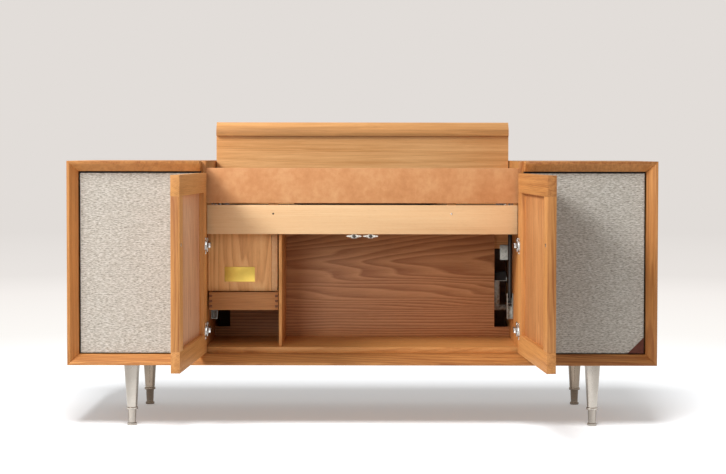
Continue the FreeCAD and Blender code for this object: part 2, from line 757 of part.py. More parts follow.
def make_struts():
    z0, z1 = strut_bracket_z, strut_bracket_z + strut_bracket_h
    y0, y1 = strut_y - strut_bracket_d / 2, strut_y + strut_bracket_d / 2
    x0 = 2 * strut_x - open_x
    cheeks = fuse(box(x0, x0 + strut_bracket_t, y0, y1, z0, z1),
                  box(open_x - strut_bracket_t, open_x, y0, y1, z0, z1),
                  box(x0, open_x, y1 - strut_bracket_t, y1, z0, z1),
                  box(x0, open_x, y0, y1, z0, z0 + strut_bracket_t),
                  cyl(stud_r, open_x - x0, x0, strut_y, strut_pin_z, V(1, 0, 0)))
    save("strut_brackets", both_sides(cheeks))
    tube = cyl(strut_r, strut_head_z - strut_foot_z, strut_x, strut_y, strut_foot_z)
    bore_z0 = strut_foot_z + gland_len
    tube = tube.cut(cyl(strut_bore_r, strut_head_z - gland_len - bore_z0, strut_x, strut_y, bore_z0))
    tube = tube.cut(cyl(rod_r + rod_fit, gland_len, strut_x, strut_y, strut_head_z - gland_len))
    lug_r = strut_bracket_d / 2 - strut_bracket_t - strut_lug_gap
    lug = fuse(cyl(lug_r, eye_t, strut_x - eye_t / 2, strut_y, strut_pin_z, V(1, 0, 0)),
               box(strut_x - eye_t / 2, strut_x + eye_t / 2, strut_y - stud_r, strut_y + stud_r,
                   strut_pin_z, strut_foot_z))
    lug = lug.cut(cyl(stud_r + pivot_fit, eye_t, strut_x - eye_t / 2, strut_y, strut_pin_z,
                      V(1, 0, 0)))
    save("strut_cylinders", both_sides(fuse(tube, lug)))
    stud_z = pivot_z + half_chord
    slot_r = stud_r + eye_clear
    half = strut_sag / 2
    eye_x = strut_x - eye_t / 2
    eye = fuse(box(eye_x, eye_x + eye_t, strut_y - half, strut_y + half,
                   stud_z - eye_h / 2, stud_z + eye_h / 2),
               cyl(eye_h / 2, eye_t, eye_x, strut_y - half, stud_z, V(1, 0, 0)),
               cyl(eye_h / 2, eye_t, eye_x, strut_y + half, stud_z, V(1, 0, 0)))
    slot = fuse(box(eye_x, eye_x + eye_t, strut_y - half, strut_y + half,
                    stud_z - slot_r, stud_z + slot_r),
                cyl(slot_r, eye_t, eye_x, strut_y - half, stud_z, V(1, 0, 0)),
                cyl(slot_r, eye_t, eye_x, strut_y + half, stud_z, V(1, 0, 0)))
    rod_z1 = stud_z - slot_r - eye_web
    rod = fuse(cyl(rod_r, rod_len, strut_x, strut_y, rod_z1 - rod_len), eye).cut(slot)
    save("strut_rod_right", rod)
    save("strut_rod_left", mirrored(rod))


def make_rear_ironwork():
    z0, z1 = stop_z1 - stop_h, stop_z1
    x0 = open_x - stop_w
    face_y1 = lid_open_y - bumper_t - bumper_gap
    stop = fuse(box(x0, open_x, face_y1 - stop_t, face_y1, z0, z1),
                box(open_x - stop_t, open_x, face_y1 - stop_flange, face_y1, z0, z1),
                cyl(bumper_r, bumper_t, x0 + bumper_in, face_y1, z1 - bumper_r - bumper_drop,
                    V(0, 1, 0)))
    save("lid_stops", both_sides(stop))
    bar_y1 = crossbar_y + crossbar_s
    bar_z1 = crossbar_z + crossbar_s
    bar = box(-open_x, open_x, crossbar_y, bar_y1, crossbar_z, bar_z1)
    bar = bar.cut(box(-open_x, open_x, crossbar_y + crossbar_t, bar_y1,
                      crossbar_z + crossbar_t, bar_z1))
    post_z1 = bar_z1 + post_h
    post = box(post_x, post_x + post_w, crossbar_y + crossbar_t, bar_y1,
               crossbar_z + crossbar_t, post_z1)
    saddle_x0 = post_x - saddle_t
    saddle_x1 = saddle_x0 + saddle_w
    saddle_y0 = (crossbar_y + bar_y1 - saddle_d) / 2
    saddle_y1 = saddle_y0 + saddle_d
    inner = (saddle_x0 + saddle_t, saddle_x1 - saddle_t, saddle_y0, saddle_y1)
    saddle = box(saddle_x0, saddle_x1, saddle_y0, saddle_y1, post_z1, post_z1 + saddle_h)
    saddle = saddle.cut(box(*inner, post_z1 + saddle_t, post_z1 + saddle_h))
    save("rear_frame", group(bar, both_sides(fuse(post, saddle))))
    block = box(*inner, post_z1 + saddle_t, post_z1 + saddle_t + buffer_h)
    top_edges = [e for e in block.Edges if abs(e.tangentAt(e.FirstParameter).x) > 0.9
                 and e.Vertexes[0].Z > post_z1 + buffer_h]
    save("rear_buffers", both_sides(block.makeFillet(buffer_r, top_edges)))


# ---------------------------------------------------------------- loudspeakers
def make_speakers():
    x0, x1 = door_edge_x + grille_door_gap, in_x - grille_gap
    cloth = box(x0, x1, front_plane, front_plane + cloth_t, panel_z0, panel_z1)
    save("grille_cloths", both_sides(cloth))
    frame_y1 = front_plane + cloth_t + grille_t
    frame = box(x0, x1, front_plane + cloth_t, frame_y1, panel_z0, panel_z1)
    frame = frame.cut(box(x0 + grille_border, x1 - grille_border, front_plane, frame_y1,
                          panel_z0 + grille_border, panel_z1 - grille_border))
    baffle_y = frame_y1 + baffle_gap
    middle = (x0 + x1) / 2
    pegs = [cyl(peg_r, baffle_gap, x, frame_y1, z, V(0, 1, 0))
            for x in (x0 + grille_border / 2, x1 - grille_border / 2)
            for z in (panel_z0 + grille_border / 2, panel_z1 - grille_border / 2)]
    save("grille_frames", both_sides(fuse(frame, *pegs)))
    baffle = box(post_out_x, in_x, baffle_y, baffle_y + baffle_t, in_z0, in_z1)
    low, high = in_z0 + woofer_up, in_z0 + tweeter_up
    baffle = baffle.cut(cyl(woofer_hole_r, baffle_t, middle, baffle_y, low, V(0, 1, 0)))
    baffle = baffle.cut(cyl(tweeter_hole_r, baffle_t, middle, baffle_y, high, V(0, 1, 0)))
    save("speaker_baffles", both_sides(baffle))
    back = V(0, 1, 0)
    cone_depth = woofer_depth - magnet_t
    basket_r = woofer_hole_r - driver_gap
    woofer = fuse(cyl(woofer_r, flange_t, middle, baffle_y - flange_t, low, back),
                  cone(basket_r, magnet_r, cone_depth, middle, baffle_y, low, back),
                  cyl(magnet_r, magnet_t, middle, baffle_y + cone_depth, low, back))
    woofer = woofer.cut(cone(woofer_cone_r, magnet_r / 2, woofer_dish, middle,
                             baffle_y - flange_t, low, back))
    tweeter = fuse(cyl(tweeter_r, flange_t, middle, baffle_y - flange_t, high, back),
                   cyl(tweeter_hole_r - driver_gap, tweeter_depth, middle, baffle_y, high, back))
    tweeter = tweeter.cut(cone(tweeter_cone_r, tweeter_throat_r, tweeter_dish, middle,
                               baffle_y - flange_t, high, back))
    save("woofers", both_sides(woofer))
    save("tweeters", both_sides(tweeter))
    save("leather_tab", prism_y([(x1 - tab_leg, panel_z0), (x1, panel_z0), (x1, panel_z0 + tab_leg)],
                                front_plane - tab_t, front_plane))


# ---------------------------------------------------------------- turntable
def make_turntable():
    x0, x1 = plinth_x - plinth_w / 2, plinth_x + plinth_w / 2
    y0, y1 = plinth_y, plinth_y + plinth_d
    z0 = deck_z1 + foot_h
    z1 = z0 + plinth_h
    corner = [(x, y) for x in (x0 + foot_inset, x1 - foot_inset)
              for y in (y0 + foot_inset, y1 - foot_inset)]
    save("turntable_feet", group(*[cyl(foot_r, foot_h, x, y, deck_z1) for x, y in corner]))
    plinth = box(x0, x1, y0, y1, z0, z1)
    upright_edges = [e for e in plinth.Edges if abs(e.tangentAt(e.FirstParameter).z) > 0.9]
    plinth = plinth.makeFillet(plinth_r, upright_edges)
    plinth = plinth.cut(cyl(bearing_r + bearing_fit, bearing_len, platter_x, platter_y,
                            z1 - bearing_len))
    plinth = plinth.cut(cyl(knob_stem_r + bearing_fit, knob_stem_len, knob_x, knob_y,
                            z1 - knob_stem_len))
    save("turntable_plinth", plinth)
    platter_z = z1 + platter_gap
    platter = fuse(cyl(platter_r, platter_h, platter_x, platter_y, platter_z),
                   cyl(bearing_r, bearing_len + platter_gap - bearing_end, platter_x, platter_y,
                       z1 - bearing_len + bearing_end),
                   cyl(spindle_r, spindle_h, platter_x, platter_y, platter_z + platter_h))
    save("platter", platter)
    knob_z = z1 + bearing_end
    stem_z = z1 - knob_stem_len + bearing_end
    save("speed_knob", fuse(cyl(knob_r, knob_h, knob_x, knob_y, knob_z),
                            cyl(knob_stem_r, knob_z - stem_z, knob_x, knob_y, stem_z)))
    tube_z = platter_z + platter_h + arm_over
    base = cyl(arm_base_r, arm_base_h, arm_x, arm_y, z1)
    base = base.cut(cyl(arm_post_r + arm_fit, arm_base_h, arm_x, arm_y, z1))
    rest_y = arm_y - arm_rest_from
    cradle_z1 = tube_z - arm_tube_r - rest_lift
    prong_x = arm_x + arm_tube_r + rest_lift
    rest = fuse(cyl(rest_r, cradle_z1 - z1, arm_x, rest_y, z1),
                box(arm_x - rest_w / 2, prong_x + rest_t, rest_y - rest_r, rest_y + rest_r,
                    cradle_z1 - rest_t, cradle_z1),
                box(prong_x, prong_x + rest_t, rest_y - rest_r, rest_y + rest_r,
                    cradle_z1 - rest_t, tube_z))
    save("tonearm_base", group(base, rest))
    tip_y = arm_y - arm_tube_len
    shell_y = tip_y - shell_len
    post_z = z1 + bearing_end
    arm = fuse(cyl(arm_post_r, tube_z - post_z, arm_x, arm_y, post_z),
               cyl(arm_head_r, arm_head_h, arm_x, arm_y, tube_z - arm_head_h / 2),
               cyl(arm_tube_r, arm_tube_len, arm_x, tip_y, tube_z, V(0, 1, 0)),
               cyl(arm_stub_r, arm_stub_len, arm_x, arm_y, tube_z, V(0, 1, 0)),
               cyl(weight_r, weight_len, arm_x, arm_y + arm_stub_len - weight_len, tube_z,
                   V(0, 1, 0)),
               box(arm_x - shell_w / 2, arm_x + shell_w / 2, shell_y, tip_y + shell_lap,
                   tube_z - shell_t / 2, tube_z + shell_t / 2),
               box(arm_x - pickup_w / 2, arm_x + pickup_w / 2, shell_y + pickup_in,
                   shell_y + pickup_in + pickup_len, tube_z - pickup_h, tube_z))
    save("tonearm", arm)


os.makedirs("parts", exist_ok=True)
make_case()
make_back()
make_legs()
make_centre()
make_left_bay()
make_doors()
make_hinge_arms()
make_catches()
make_lid()
make_struts()
make_rear_ironwork()
make_speakers()
make_turntable()
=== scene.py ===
"""The looks of the record cabinet: eased boards with their own grain, cloth, metals, floor and light."""

import json
import math
import random

import bmesh
import bpy
from mathutils import Matrix, Vector, noise


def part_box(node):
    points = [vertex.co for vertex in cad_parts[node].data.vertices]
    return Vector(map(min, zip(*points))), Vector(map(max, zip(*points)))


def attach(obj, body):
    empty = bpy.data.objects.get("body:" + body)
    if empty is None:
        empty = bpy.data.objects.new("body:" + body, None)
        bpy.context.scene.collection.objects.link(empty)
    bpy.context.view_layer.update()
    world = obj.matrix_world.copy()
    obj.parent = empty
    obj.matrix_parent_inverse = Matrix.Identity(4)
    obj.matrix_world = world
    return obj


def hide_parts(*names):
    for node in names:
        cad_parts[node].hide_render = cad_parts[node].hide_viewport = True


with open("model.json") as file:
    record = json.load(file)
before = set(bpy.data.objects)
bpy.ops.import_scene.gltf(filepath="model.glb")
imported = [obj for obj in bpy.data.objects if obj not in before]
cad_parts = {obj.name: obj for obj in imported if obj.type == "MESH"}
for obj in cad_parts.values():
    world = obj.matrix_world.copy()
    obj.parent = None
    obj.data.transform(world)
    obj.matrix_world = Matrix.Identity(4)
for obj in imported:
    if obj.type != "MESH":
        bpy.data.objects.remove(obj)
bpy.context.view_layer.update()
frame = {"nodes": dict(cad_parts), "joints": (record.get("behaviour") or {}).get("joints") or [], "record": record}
NODES = frame["nodes"]
JOINTS = {joint["name"]: joint for joint in frame["joints"]}
BODY_OF = {name: body for body, names in frame["record"]["behaviour"]["bodies"].items() for name in names}
SLOT_OF = {name: node.material_slots[0].material.name for name, node in NODES.items()}
MM = 0.001


def linked(name, data):
    """A new object in the scene."""
    made = bpy.data.objects.new(name, data)
    bpy.context.scene.collection.objects.link(made)
    return made


# ---------------- camera
PHOTO_W = 726
PHOTO_H = 474
FOCAL_PX = 1650.1  # focal length in pixels of that frame
AXIS_ROW = 205.9  # row that the lens axis meets
SENSOR_W = 36.0
CLIP_END = 200
CAMERA_AT = (0.0018, -5.1475, 0.8533)
CAMERA_PITCH = math.radians(-1.832)
CAMERA_ROLL = math.radians(-0.074)


def make_camera():
    data = bpy.data.cameras.new("camera")
    data.sensor_fit = "HORIZONTAL"
    data.sensor_width = SENSOR_W
    data.lens = FOCAL_PX / PHOTO_W * SENSOR_W
    data.shift_y = (AXIS_ROW - PHOTO_H / 2) / PHOTO_W
    data.clip_end = CLIP_END
    camera = linked("camera", data)
    camera.location = CAMERA_AT
    camera.rotation_euler = (math.pi / 2 + CAMERA_PITCH, CAMERA_ROLL, 0)
    bpy.context.scene.camera = camera


# ---------------- shaders
def srgb(red, green, blue):
    """Linear colour of a screen colour given from 0 to 255."""
    values = [v / 255 for v in (red, green, blue)]
    return [v / 12.92 if v <= 0.04045 else ((v + 0.055) / 1.055) ** 2.4 for v in values] + [1.0]


def shaded(colour, share):
    """The colour with its light scaled by that share."""
    return [min(1.0, v * share) for v in colour[:3]] + [1.0]


FINISH = {}  # the materials by their name


class Shader:
    """One material's node tree, built with short calls that mostly return an output socket."""

    def __init__(self, name, **settings):
        self.material = bpy.data.materials.new(name)
        self.material.use_nodes = True
        FINISH[name] = self.material
        self.tree = self.material.node_tree
        self.tree.nodes.clear()
        self.surface = self.node("ShaderNodeBsdfPrincipled")
        self.output = self.node("ShaderNodeOutputMaterial")
        self.feed(self.output.inputs[0], self.surface.outputs[0])
        for key, value in settings.items():
            self.surface.inputs[key.replace("_", " ")].default_value = value

    def feed(self, socket, value):
        if isinstance(value, bpy.types.NodeSocket):
            self.tree.links.new(value, socket)
        else:
            socket.default_value = value

    def node(self, kind, **inputs):
        """A node with the named inputs fed."""
        node = self.tree.nodes.new(kind)
        for key, value in inputs.items():
            self.feed(node.inputs[key.replace("_", " ")], value)
        return node

    def row(self, kind, *values, **settings):
        """A node with its first inputs fed in their order."""
        node = self.tree.nodes.new(kind)
        for key, value in settings.items():
            setattr(node, key, value)
        for socket, value in zip(node.inputs, values):
            self.feed(socket, value)
        return node

    def place(self):
        return self.node("ShaderNodeTexCoord").outputs["Object"]

    def attribute(self, name, output="Vector"):
        return self.row("ShaderNodeAttribute", attribute_name=name).outputs[output]

    def stretch(self, vector, scale):
        return self.node("ShaderNodeMapping", Vector=vector, Scale=scale).outputs[0]

    def noise(self, vector, scale, detail, rough=0.5, output="Fac"):
        """Noise with that many waves per metre, or that many along each axis."""
        if isinstance(scale, tuple):
            vector, scale = self.stretch(vector, scale), 1.0
        node = self.node("ShaderNodeTexNoise", Vector=vector, Scale=scale, Detail=detail, Roughness=rough)
        return node.outputs[output]

    def cells(self, vector, scale, feature, output="Distance"):
        node = self.node("ShaderNodeTexVoronoi", Vector=vector, Scale=scale)
        node.feature = feature
        return node.outputs[output]

    def math(self, operation, *values):
        return self.row("ShaderNodeMath", *values, operation=operation).outputs[0]

    def vector(self, operation, *values, output="Vector"):
        return self.row("ShaderNodeVectorMath", *values, operation=operation).outputs[output]

    def plus(self, base, value, share):
        """base + value * share."""
        return self.math("MULTIPLY_ADD", value, share, base)

    def remap(self, value, low, high, to_low=0.0, to_high=1.0):
        return self.row("ShaderNodeMapRange", value, low, high, to_low, to_high).outputs[0]

    def ramp(self, value, *stops):
        """Colour by value: stops are (place, colour)."""
        node = self.node("ShaderNodeValToRGB", Fac=value)
        band = node.color_ramp.elements
        while len(band) < len(stops):
            band.new(0.5)
        for element, (place, colour) in zip(band, stops):
            element.position = place
            element.color = colour
        return node.outputs["Color"]

    def mix(self, share, first, second):
        """A mix of two colours or numbers."""
        node = self.row("ShaderNodeMix", share, data_type="RGBA")
        self.feed(node.inputs[6], first)
        self.feed(node.inputs[7], second)
        return node.outputs[2]

    def blend(self, share, first, second):
        """A mix of two shaders."""
        return self.row("ShaderNodeMixShader", share, first, second).outputs[0]

    def tint(self, smear, colour, low, high):
        """The colour with darker and lighter places that follow a noise."""
        return self.ramp(smear, (0.3, shaded(colour, low)), (0.7, shaded(colour, high)))

    def relief(self, height, depth):
        """Bump of that real depth in metres, where height runs from 0 to 1."""
        node = self.node("ShaderNodeBump", Height=height, Distance=depth)
        self.feed(self.surface.inputs["Normal"], node.outputs[0])

    def finish(self, colour, roughness):
        self.feed(self.surface.inputs["Base Color"], colour)
        self.feed(self.surface.inputs["Roughness"], roughness)


def seen_rays(tree):
    """A socket that is 1 for rays that show the background: from the camera, off gloss and through glass."""
    ray = tree.nodes.new("ShaderNodeLightPath")
    seen = ray.outputs["Is Camera Ray"]
    for kind in ("Is Glossy Ray", "Is Transmission Ray"):
        either = tree.nodes.new("ShaderNodeMath")
        either.operation = "MAXIMUM"
        tree.links.new(seen, either.inputs[0])
        tree.links.new(ray.outputs[kind], either.inputs[1])
        seen = either.outputs[0]
    return seen


def wood(name, light, middle, dark, ring=4.5 * MM, ring_share=0.30, streak_share=0.45, fibre_share=0.35):
    """Oiled hardwood. The attribute "grain" holds the place in the tree: along it, and two ways across."""
    s = Shader(name, Specular_IOR_Level=0.35)
    tree = s.attribute("grain")
    wander = s.noise(tree, (1.3, 7, 7), 2.0, output="Color")
    wander = s.vector("MULTIPLY", s.vector("SUBTRACT", wander, (0.5, 0.5, 0.5)), (0, 0.03, 0.03))
    bent = s.vector("ADD", tree, wander)
    radius = s.vector("LENGTH", s.vector("MULTIPLY", bent, (0, 1, 1)), output="Value")
    uneven = s.noise(bent, (0.3, 22, 22), 1.0)
    phase = s.math("ADD", s.math("DIVIDE", radius, ring), s.math("MULTIPLY", uneven, 3.0))
    turn = s.math("FRACT", phase)
    rings = s.math("MULTIPLY", s.remap(turn, 0.0, 0.75), s.remap(turn, 1.0, 0.86))
    fibre = s.noise(bent, (9, 900, 900), 3.0, 0.65)
    streak = s.noise(bent, (1.6, 85, 85), 3.0, 0.6)
    cloud = s.noise(tree, (2.2, 7, 7), 2.0)
    shade = s.plus(s.attribute("tone", "Fac"), rings, ring_share)
    shade = s.plus(shade, s.remap(fibre, 0.3, 0.7), fibre_share)
    shade = s.plus(shade, s.remap(streak, 0.25, 0.75), streak_share)
    shade = s.plus(shade, s.remap(cloud, 0.3, 0.7), 0.22)
    deep = shaded(dark, 0.58)
    colour = s.ramp(s.math("MULTIPLY", shade, 0.5), (0.0, light), (0.36, middle), (0.70, dark), (1.0, deep))
    pores = s.remap(s.noise(bent, (55, 2600, 2600), 1.0), 0.64, 0.74)
    colour = s.mix(s.math("MULTIPLY", pores, 0.32), colour, shaded(dark, 0.65))
    s.relief(s.math("SUBTRACT", s.math("MULTIPLY", fibre, 0.5), pores), 0.12 * MM)
    s.finish(colour, s.remap(fibre, 0.3, 0.7, 0.40, 0.56))


def black_board():
    s = Shader("black_board", Specular_IOR_Level=0.4)
    grit = s.noise(s.place(), 900, 3.0, 0.6)
    smear = s.noise(s.place(), 14, 3.0)
    colour = s.ramp(smear, (0.3, srgb(20, 19, 18)), (0.75, srgb(31, 29, 27)))
    s.relief(grit, 0.05 * MM)
    s.finish(colour, s.remap(smear, 0.3, 0.7, 0.34, 0.5))


def leather(name, light, middle, dark):
    """Smooth leather with clouds, scuffs that run upright, and pits between its cells."""
    s = Shader(name, Specular_IOR_Level=0.3)
    place = s.place()
    clouds = s.noise(s.stretch(place, (1, 1, 0.7)), 11, 5.0, 0.62)
    patches = s.noise(place, 55, 4.0, 0.6)
    scuff = s.noise(place, (140, 140, 32), 3.0, 0.6)
    grain = s.cells(place, 620, "DISTANCE_TO_EDGE")
    shade = s.plus(s.remap(clouds, 0.3, 0.7, 0.0, 0.65), s.remap(patches, 0.3, 0.7), 0.35)
    colour = s.ramp(shade, (0.05, light), (0.5, middle), (1.0, dark))
    colour = s.mix(s.remap(scuff, 0.62, 0.78, 0.0, 0.45), colour, light)
    # painted shade in the creases: the colour darkens at the edges between the cells
    pits = s.remap(grain, 0.0, 0.12)
    colour = s.mix(s.remap(pits, 0.0, 1.0, 0.18, 0.0), colour, dark)
    s.relief(pits, 0.12 * MM)
    s.finish(colour, s.remap(patches, 0.3, 0.7, 0.46, 0.62))


THREAD = 1.5 * MM  # pitch of the grille cloth's weave
ROW = 6.2 * MM  # pitch of its rows of loops


def grille_cloth():
    """Tweed: a plain weave whose threads change colour along their length."""
    s = Shader("cloth", Specular_IOR_Level=0.15, Sheen_Weight=0.15, Sheen_Roughness=0.6)
    place = s.place()
    across = s.node("ShaderNodeSeparateXYZ", Vector=place).outputs
    over, under = [s.math("SINE", s.math("MULTIPLY", across[way], math.pi / THREAD)) for way in "XZ"]
    turnover = s.math("GREATER_THAN", s.math("MULTIPLY", over, under), 0.0)
    thread = s.mix(turnover, s.math("ABSOLUTE", over), s.math("ABSOLUTE", under))
    along_warp = s.noise(place, (420, 1, 120), 2.0, 0.6)
    along_weft = s.noise(place, (120, 1, 420), 2.0, 0.6)
    yarn = s.mix(turnover, along_warp, along_weft)
    slub = s.noise(place, (105, 105, 300), 2.0, 0.55)
    wander = s.math("MULTIPLY", s.noise(place, (85, 1, 60), 1.0), 2.4)
    turns = s.math("ADD", s.math("DIVIDE", across["Z"], ROW), wander)
    loops = s.math("SINE", s.math("MULTIPLY", turns, math.tau))
    shade = s.plus(s.remap(yarn, 0.3, 0.7, 0.0, 0.26), s.remap(slub, 0.32, 0.68), 0.56)
    shade = s.plus(shade, s.remap(loops, -1.0, 1.0), 0.20)
    colour = s.ramp(shade, (0.12, srgb(150, 143, 129)), (0.42, srgb(198, 193, 182)),
                    (0.66, srgb(219, 215, 206)), (0.92, srgb(238, 235, 229)))
    # painted shade between the threads: where they part, the colour falls to a shaded brown
    gap = s.remap(thread, 0.0, 0.45)
    colour = s.mix(s.remap(gap, 0.0, 1.0, 0.22, 0.0), colour, srgb(120, 108, 92))
    s.relief(s.plus(thread, slub, 0.6), 0.35 * MM)
    s.finish(colour, 0.86)


def metal(name, colour, roughness, brushed, depth=0.01 * MM):
    """Bare or plated metal. brushed is the stretch of its fine scratches along each axis."""
    s = Shader(name, Metallic=1.0)
    place = s.place()
    scratch = s.noise(s.stretch(place, brushed), 700, 3.0, 0.6)
    smear = s.noise(place, 30, 3.0)
    s.relief(scratch, depth)
    rough = s.remap(scratch, 0.3, 0.7, roughness - 0.08, roughness + 0.08)
    s.finish(s.tint(smear, colour, 0.90, 1.08), rough)


def galvanised():
    s = Shader("galvanised", Metallic=1.0)
    place = s.place()
    spangle = s.cells(place, 130, "F1", "Color")
    crystal = s.vector("DOT_PRODUCT", spangle, (0.33, 0.33, 0.33), output="Value")
    dust = s.noise(place, 60, 4.0)
    colour = s.ramp(crystal, (0.2, srgb(128, 127, 120)), (0.8, srgb(174, 172, 164)))
    colour = s.mix(s.remap(dust, 0.55, 0.8, 0.0, 0.5), colour, srgb(100, 96, 88))
    s.relief(dust, 0.03 * MM)
    s.finish(colour, s.remap(crystal, 0.2, 0.8, 0.34, 0.55))


def moulded(name, colour, roughness=0.45, grit=0.04 * MM):
    """Plastic, rubber or paint with a fine spark-eroded surface."""
    s = Shader(name, Specular_IOR_Level=0.45)
    place = s.place()
    fine = s.noise(place, 1400, 2.0, 0.6)
    smear = s.noise(place, 25, 3.0)
    s.relief(fine, grit)
    rough = s.remap(smear, 0.3, 0.7, roughness - 0.05, roughness + 0.06)
    s.finish(s.tint(smear, colour, 0.88, 1.12), rough)


def spun_metal(name, colour, roughness):
    """Turned or spun metal: its rings run round the upright axis of a lathed piece."""
    s = Shader(name, Metallic=1.0, Anisotropic=0.5)
    rings = s.noise(s.place(), (20, 20, 1600), 2.0, 0.6)
    smear = s.noise(s.place(), 22, 3.0)
    s.relief(rings, 0.005 * MM)
    rough = s.remap(rings, 0.3, 0.7, roughness - 0.05, roughness + 0.05)
    s.finish(s.tint(smear, colour, 0.92, 1.06), rough)


STREAKY = {"streak_share": 0.62, "fibre_share": 0.42}
WOODS = {  # screen colours from light to dark, and how the figure differs from wood()'s own
    "wood": ((233, 173, 106), (207, 144, 81), (150, 88, 40), STREAKY),
    # painted light: the lid's wood is lighter than the case's, to make up for shade on the lid's face
    "lid_wood_painted_light": ((255, 216, 154), (252, 197, 136), (218, 156, 94), STREAKY),
    "gold_panel": ((232, 176, 118), (208, 146, 90), (156, 96, 52),
                   {"streak_share": 0.85, "ring_share": 0.35}),
    # painted sheen and light: the left door's panel is a paler, pinker copy of the panel wood, for the sheen on
    # its inner face turned from the key lamp
    "pink_panel_painted_sheen": ((252, 216, 184), (238, 190, 151), (184, 126, 91), {"streak_share": 0.75}),
    # painted light: the electronics cover's wood is lighter, to lift it out of the left door's shadow
    "cover_wood_painted_light": ((255, 208, 146), (243, 184, 120), (194, 128, 70), {"ring": 8 * MM, "ring_share": 0.55}),
    "tray_wood": ((216, 156, 98), (188, 128, 74), (140, 84, 44), {}),
    "pale_wood": ((245, 208, 160), (236, 193, 143), (214, 163, 110), {}),
    "pine": ((224, 186, 130), (206, 162, 104), (170, 118, 66), {"ring": 7 * MM}),
    "ply": ((226, 172, 122), (204, 146, 98), (160, 100, 60),
            {"ring": 5.5 * MM, "ring_share": 0.62, "streak_share": 0.25}),
    "back_board": ((128, 92, 62), (104, 72, 47), (78, 52, 34), {}),
}
for name, (*colours, figure) in WOODS.items():
    wood(name, *[srgb(*colour) for colour in colours], **figure)
black_board()
leather("leather", srgb(228, 173, 121), srgb(215, 153, 101), srgb(199, 134, 82))
leather("dark_leather", srgb(122, 64, 42), srgb(96, 46, 29), srgb(70, 32, 19))
grille_cloth()
spun_metal("leg_metal", srgb(171, 164, 155), 0.20)
# painted shade: a darker copy of the leg metal for the rear legs, which stand in the case's shadow
spun_metal("painted_shade_leg", srgb(136, 123, 109), 0.24)
spun_metal("platter_metal", srgb(198, 198, 198), 0.26)
metal("steel", srgb(206, 205, 202), 0.22, (1, 1, 3))
galvanised()
metal("dark_steel", srgb(92, 82, 72), 0.35, (1, 1, 3))
moulded("black_metal", srgb(38, 37, 36), 0.38)
metal("brass", srgb(202, 172, 84), 0.42, (0.06, 4, 6), 0.02 * MM)
moulded("rubber", srgb(34, 33, 32), 0.72, 0.08 * MM)
moulded("white_plastic", srgb(226, 222, 212))
moulded("grey_plastic", srgb(64, 60, 57))

# ---------------- pieces
SIDEWAYS = Vector((1, 0, 0))
FORWARD = Vector((0, 1, 0))
UPWARD = Vector((0, 0, 1))
AXES = (SIDEWAYS, FORWARD, UPWARD)
UPRIGHT = 2  # the axis along which an upright board's grain runs
SOFT_ANGLE = math.radians(32)  # faces that meet at less are shaded as one
SHARP_ANGLE = math.radians(25)  # edges that turn by more are eased
FLAT_ANGLE = math.radians(0.4)  # faces that meet at less are one face
WELD = 0.005 * MM
SHALLOW = 0.2 * MM  # how far behind a face a touching solid is told from the next


def to_mesh(name, bm):
    """The mesh of bm, without the normals that came from the CAD."""
    mesh = bpy.data.meshes.new(name)
    bm.to_mesh(mesh)
    bm.free()
    stale = mesh.attributes.get("custom_normal")
    if stale:
        mesh.attributes.remove(stale)
    return mesh


def new_piece(name, bm, finish, node=None, on=None, replaces=True):
    """Makes a mesh a piece with its finish, in place of a CAD node, or else on the body that holds one."""
    mesh = to_mesh(name, bm)
    piece = linked(name, mesh)
    mesh.materials.append(FINISH[finish])
    for face in mesh.polygons:
        face.material_index = 0
        face.use_smooth = True
    mesh.set_sharp_from_angle(angle=SOFT_ANGLE)
    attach(piece, BODY_OF[node or on])
    SLOT_OF[node] if node else finish
    if node and replaces:
        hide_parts(node)
    return piece


def welded(node, inside=None):
    """A CAD node's mesh, its faces joined. inside picks one of its touching solids by points in it."""
    bm = bmesh.new()
    bm.from_mesh(NODES[node].data)
    if inside:
        other = [f for f in bm.faces if not inside(f.calc_center_median() - f.normal * SHALLOW)]
        bmesh.ops.delete(bm, geom=other, context="FACES")
    bmesh.ops.remove_doubles(bm, verts=bm.verts, dist=WELD)
    bmesh.ops.dissolve_limit(bm, angle_limit=FLAT_ANGLE, verts=bm.verts, edges=bm.edges)
    return bm


def islands(bm):
    """The separate solids of a mesh, as sets of vertices, in the order of their first vertex."""
    bm.verts.index_update()
    bm.edges.index_update()
    left = set(bm.verts)
    for first in list(bm.verts):
        if first not in left:
            continue
        left.discard(first)
        group, front = set(), [first]
        while front:
            vert = front.pop()
            group.add(vert)
            for edge in vert.link_edges:
                other = edge.other_vert(vert)
                if other in left:
                    left.discard(other)
                    front.append(other)
        yield group


def ease(bm, width, shortest=6 * MM, segments=2):
    """Rounds the long sharp edges by that width, solid by solid: the narrowest face limits the width."""
    for solid in list(islands(bm)):
        edges = {edge for vert in solid for edge in vert.link_edges}
        sharp = [e for e in edges
                 if len(e.link_faces) == 2 and e.calc_length() > shortest
                 and e.calc_face_angle(0) > SHARP_ANGLE]
        sharp.sort(key=lambda e: e.index)
        bmesh.ops.bevel(bm, geom=sharp, offset=width, segments=segments, profile=0.5,
                        affect="EDGES", clamp_overlap=True)


def dress(node, name, finish, width, shortest=6 * MM, segments=2):
    """A CAD node with its edges rounded."""
    bm = welded(node)
    ease(bm, width, shortest, segments)
    new_piece(name, bm, finish, node)


def box_of(verts, pose=Matrix()):
    """The low and high corner of those vertices, moved by pose."""
    points = [pose @ v.co for v in verts]
    return (Vector([min(p[i] for p in points) for i in range(3)]),
            Vector([max(p[i] for p in points) for i in range(3)]))


def span(points, axis):
    values = [p.dot(axis) for p in points]
    return min(values), max(values)


# ---------------- boards
END_TONE = 0.35  # how much darker a board's end grain is
END_SKIN = 0.05 * MM
# How far the tree's heart is off the board's middle, across its width and its thickness, and how the board
# leans in the tree.
FIGURES = {
    "flat": ((-0.04, 0.04), (0.03, 0.06), (0.03, 0.05)),
    "broad": ((-0.05, 0.05), (0.20, 0.26), (0.025, 0.04)),
    "plain": ((0.22, 0.4), (0.04, 0.12), (-0.012, 0.012)),
}


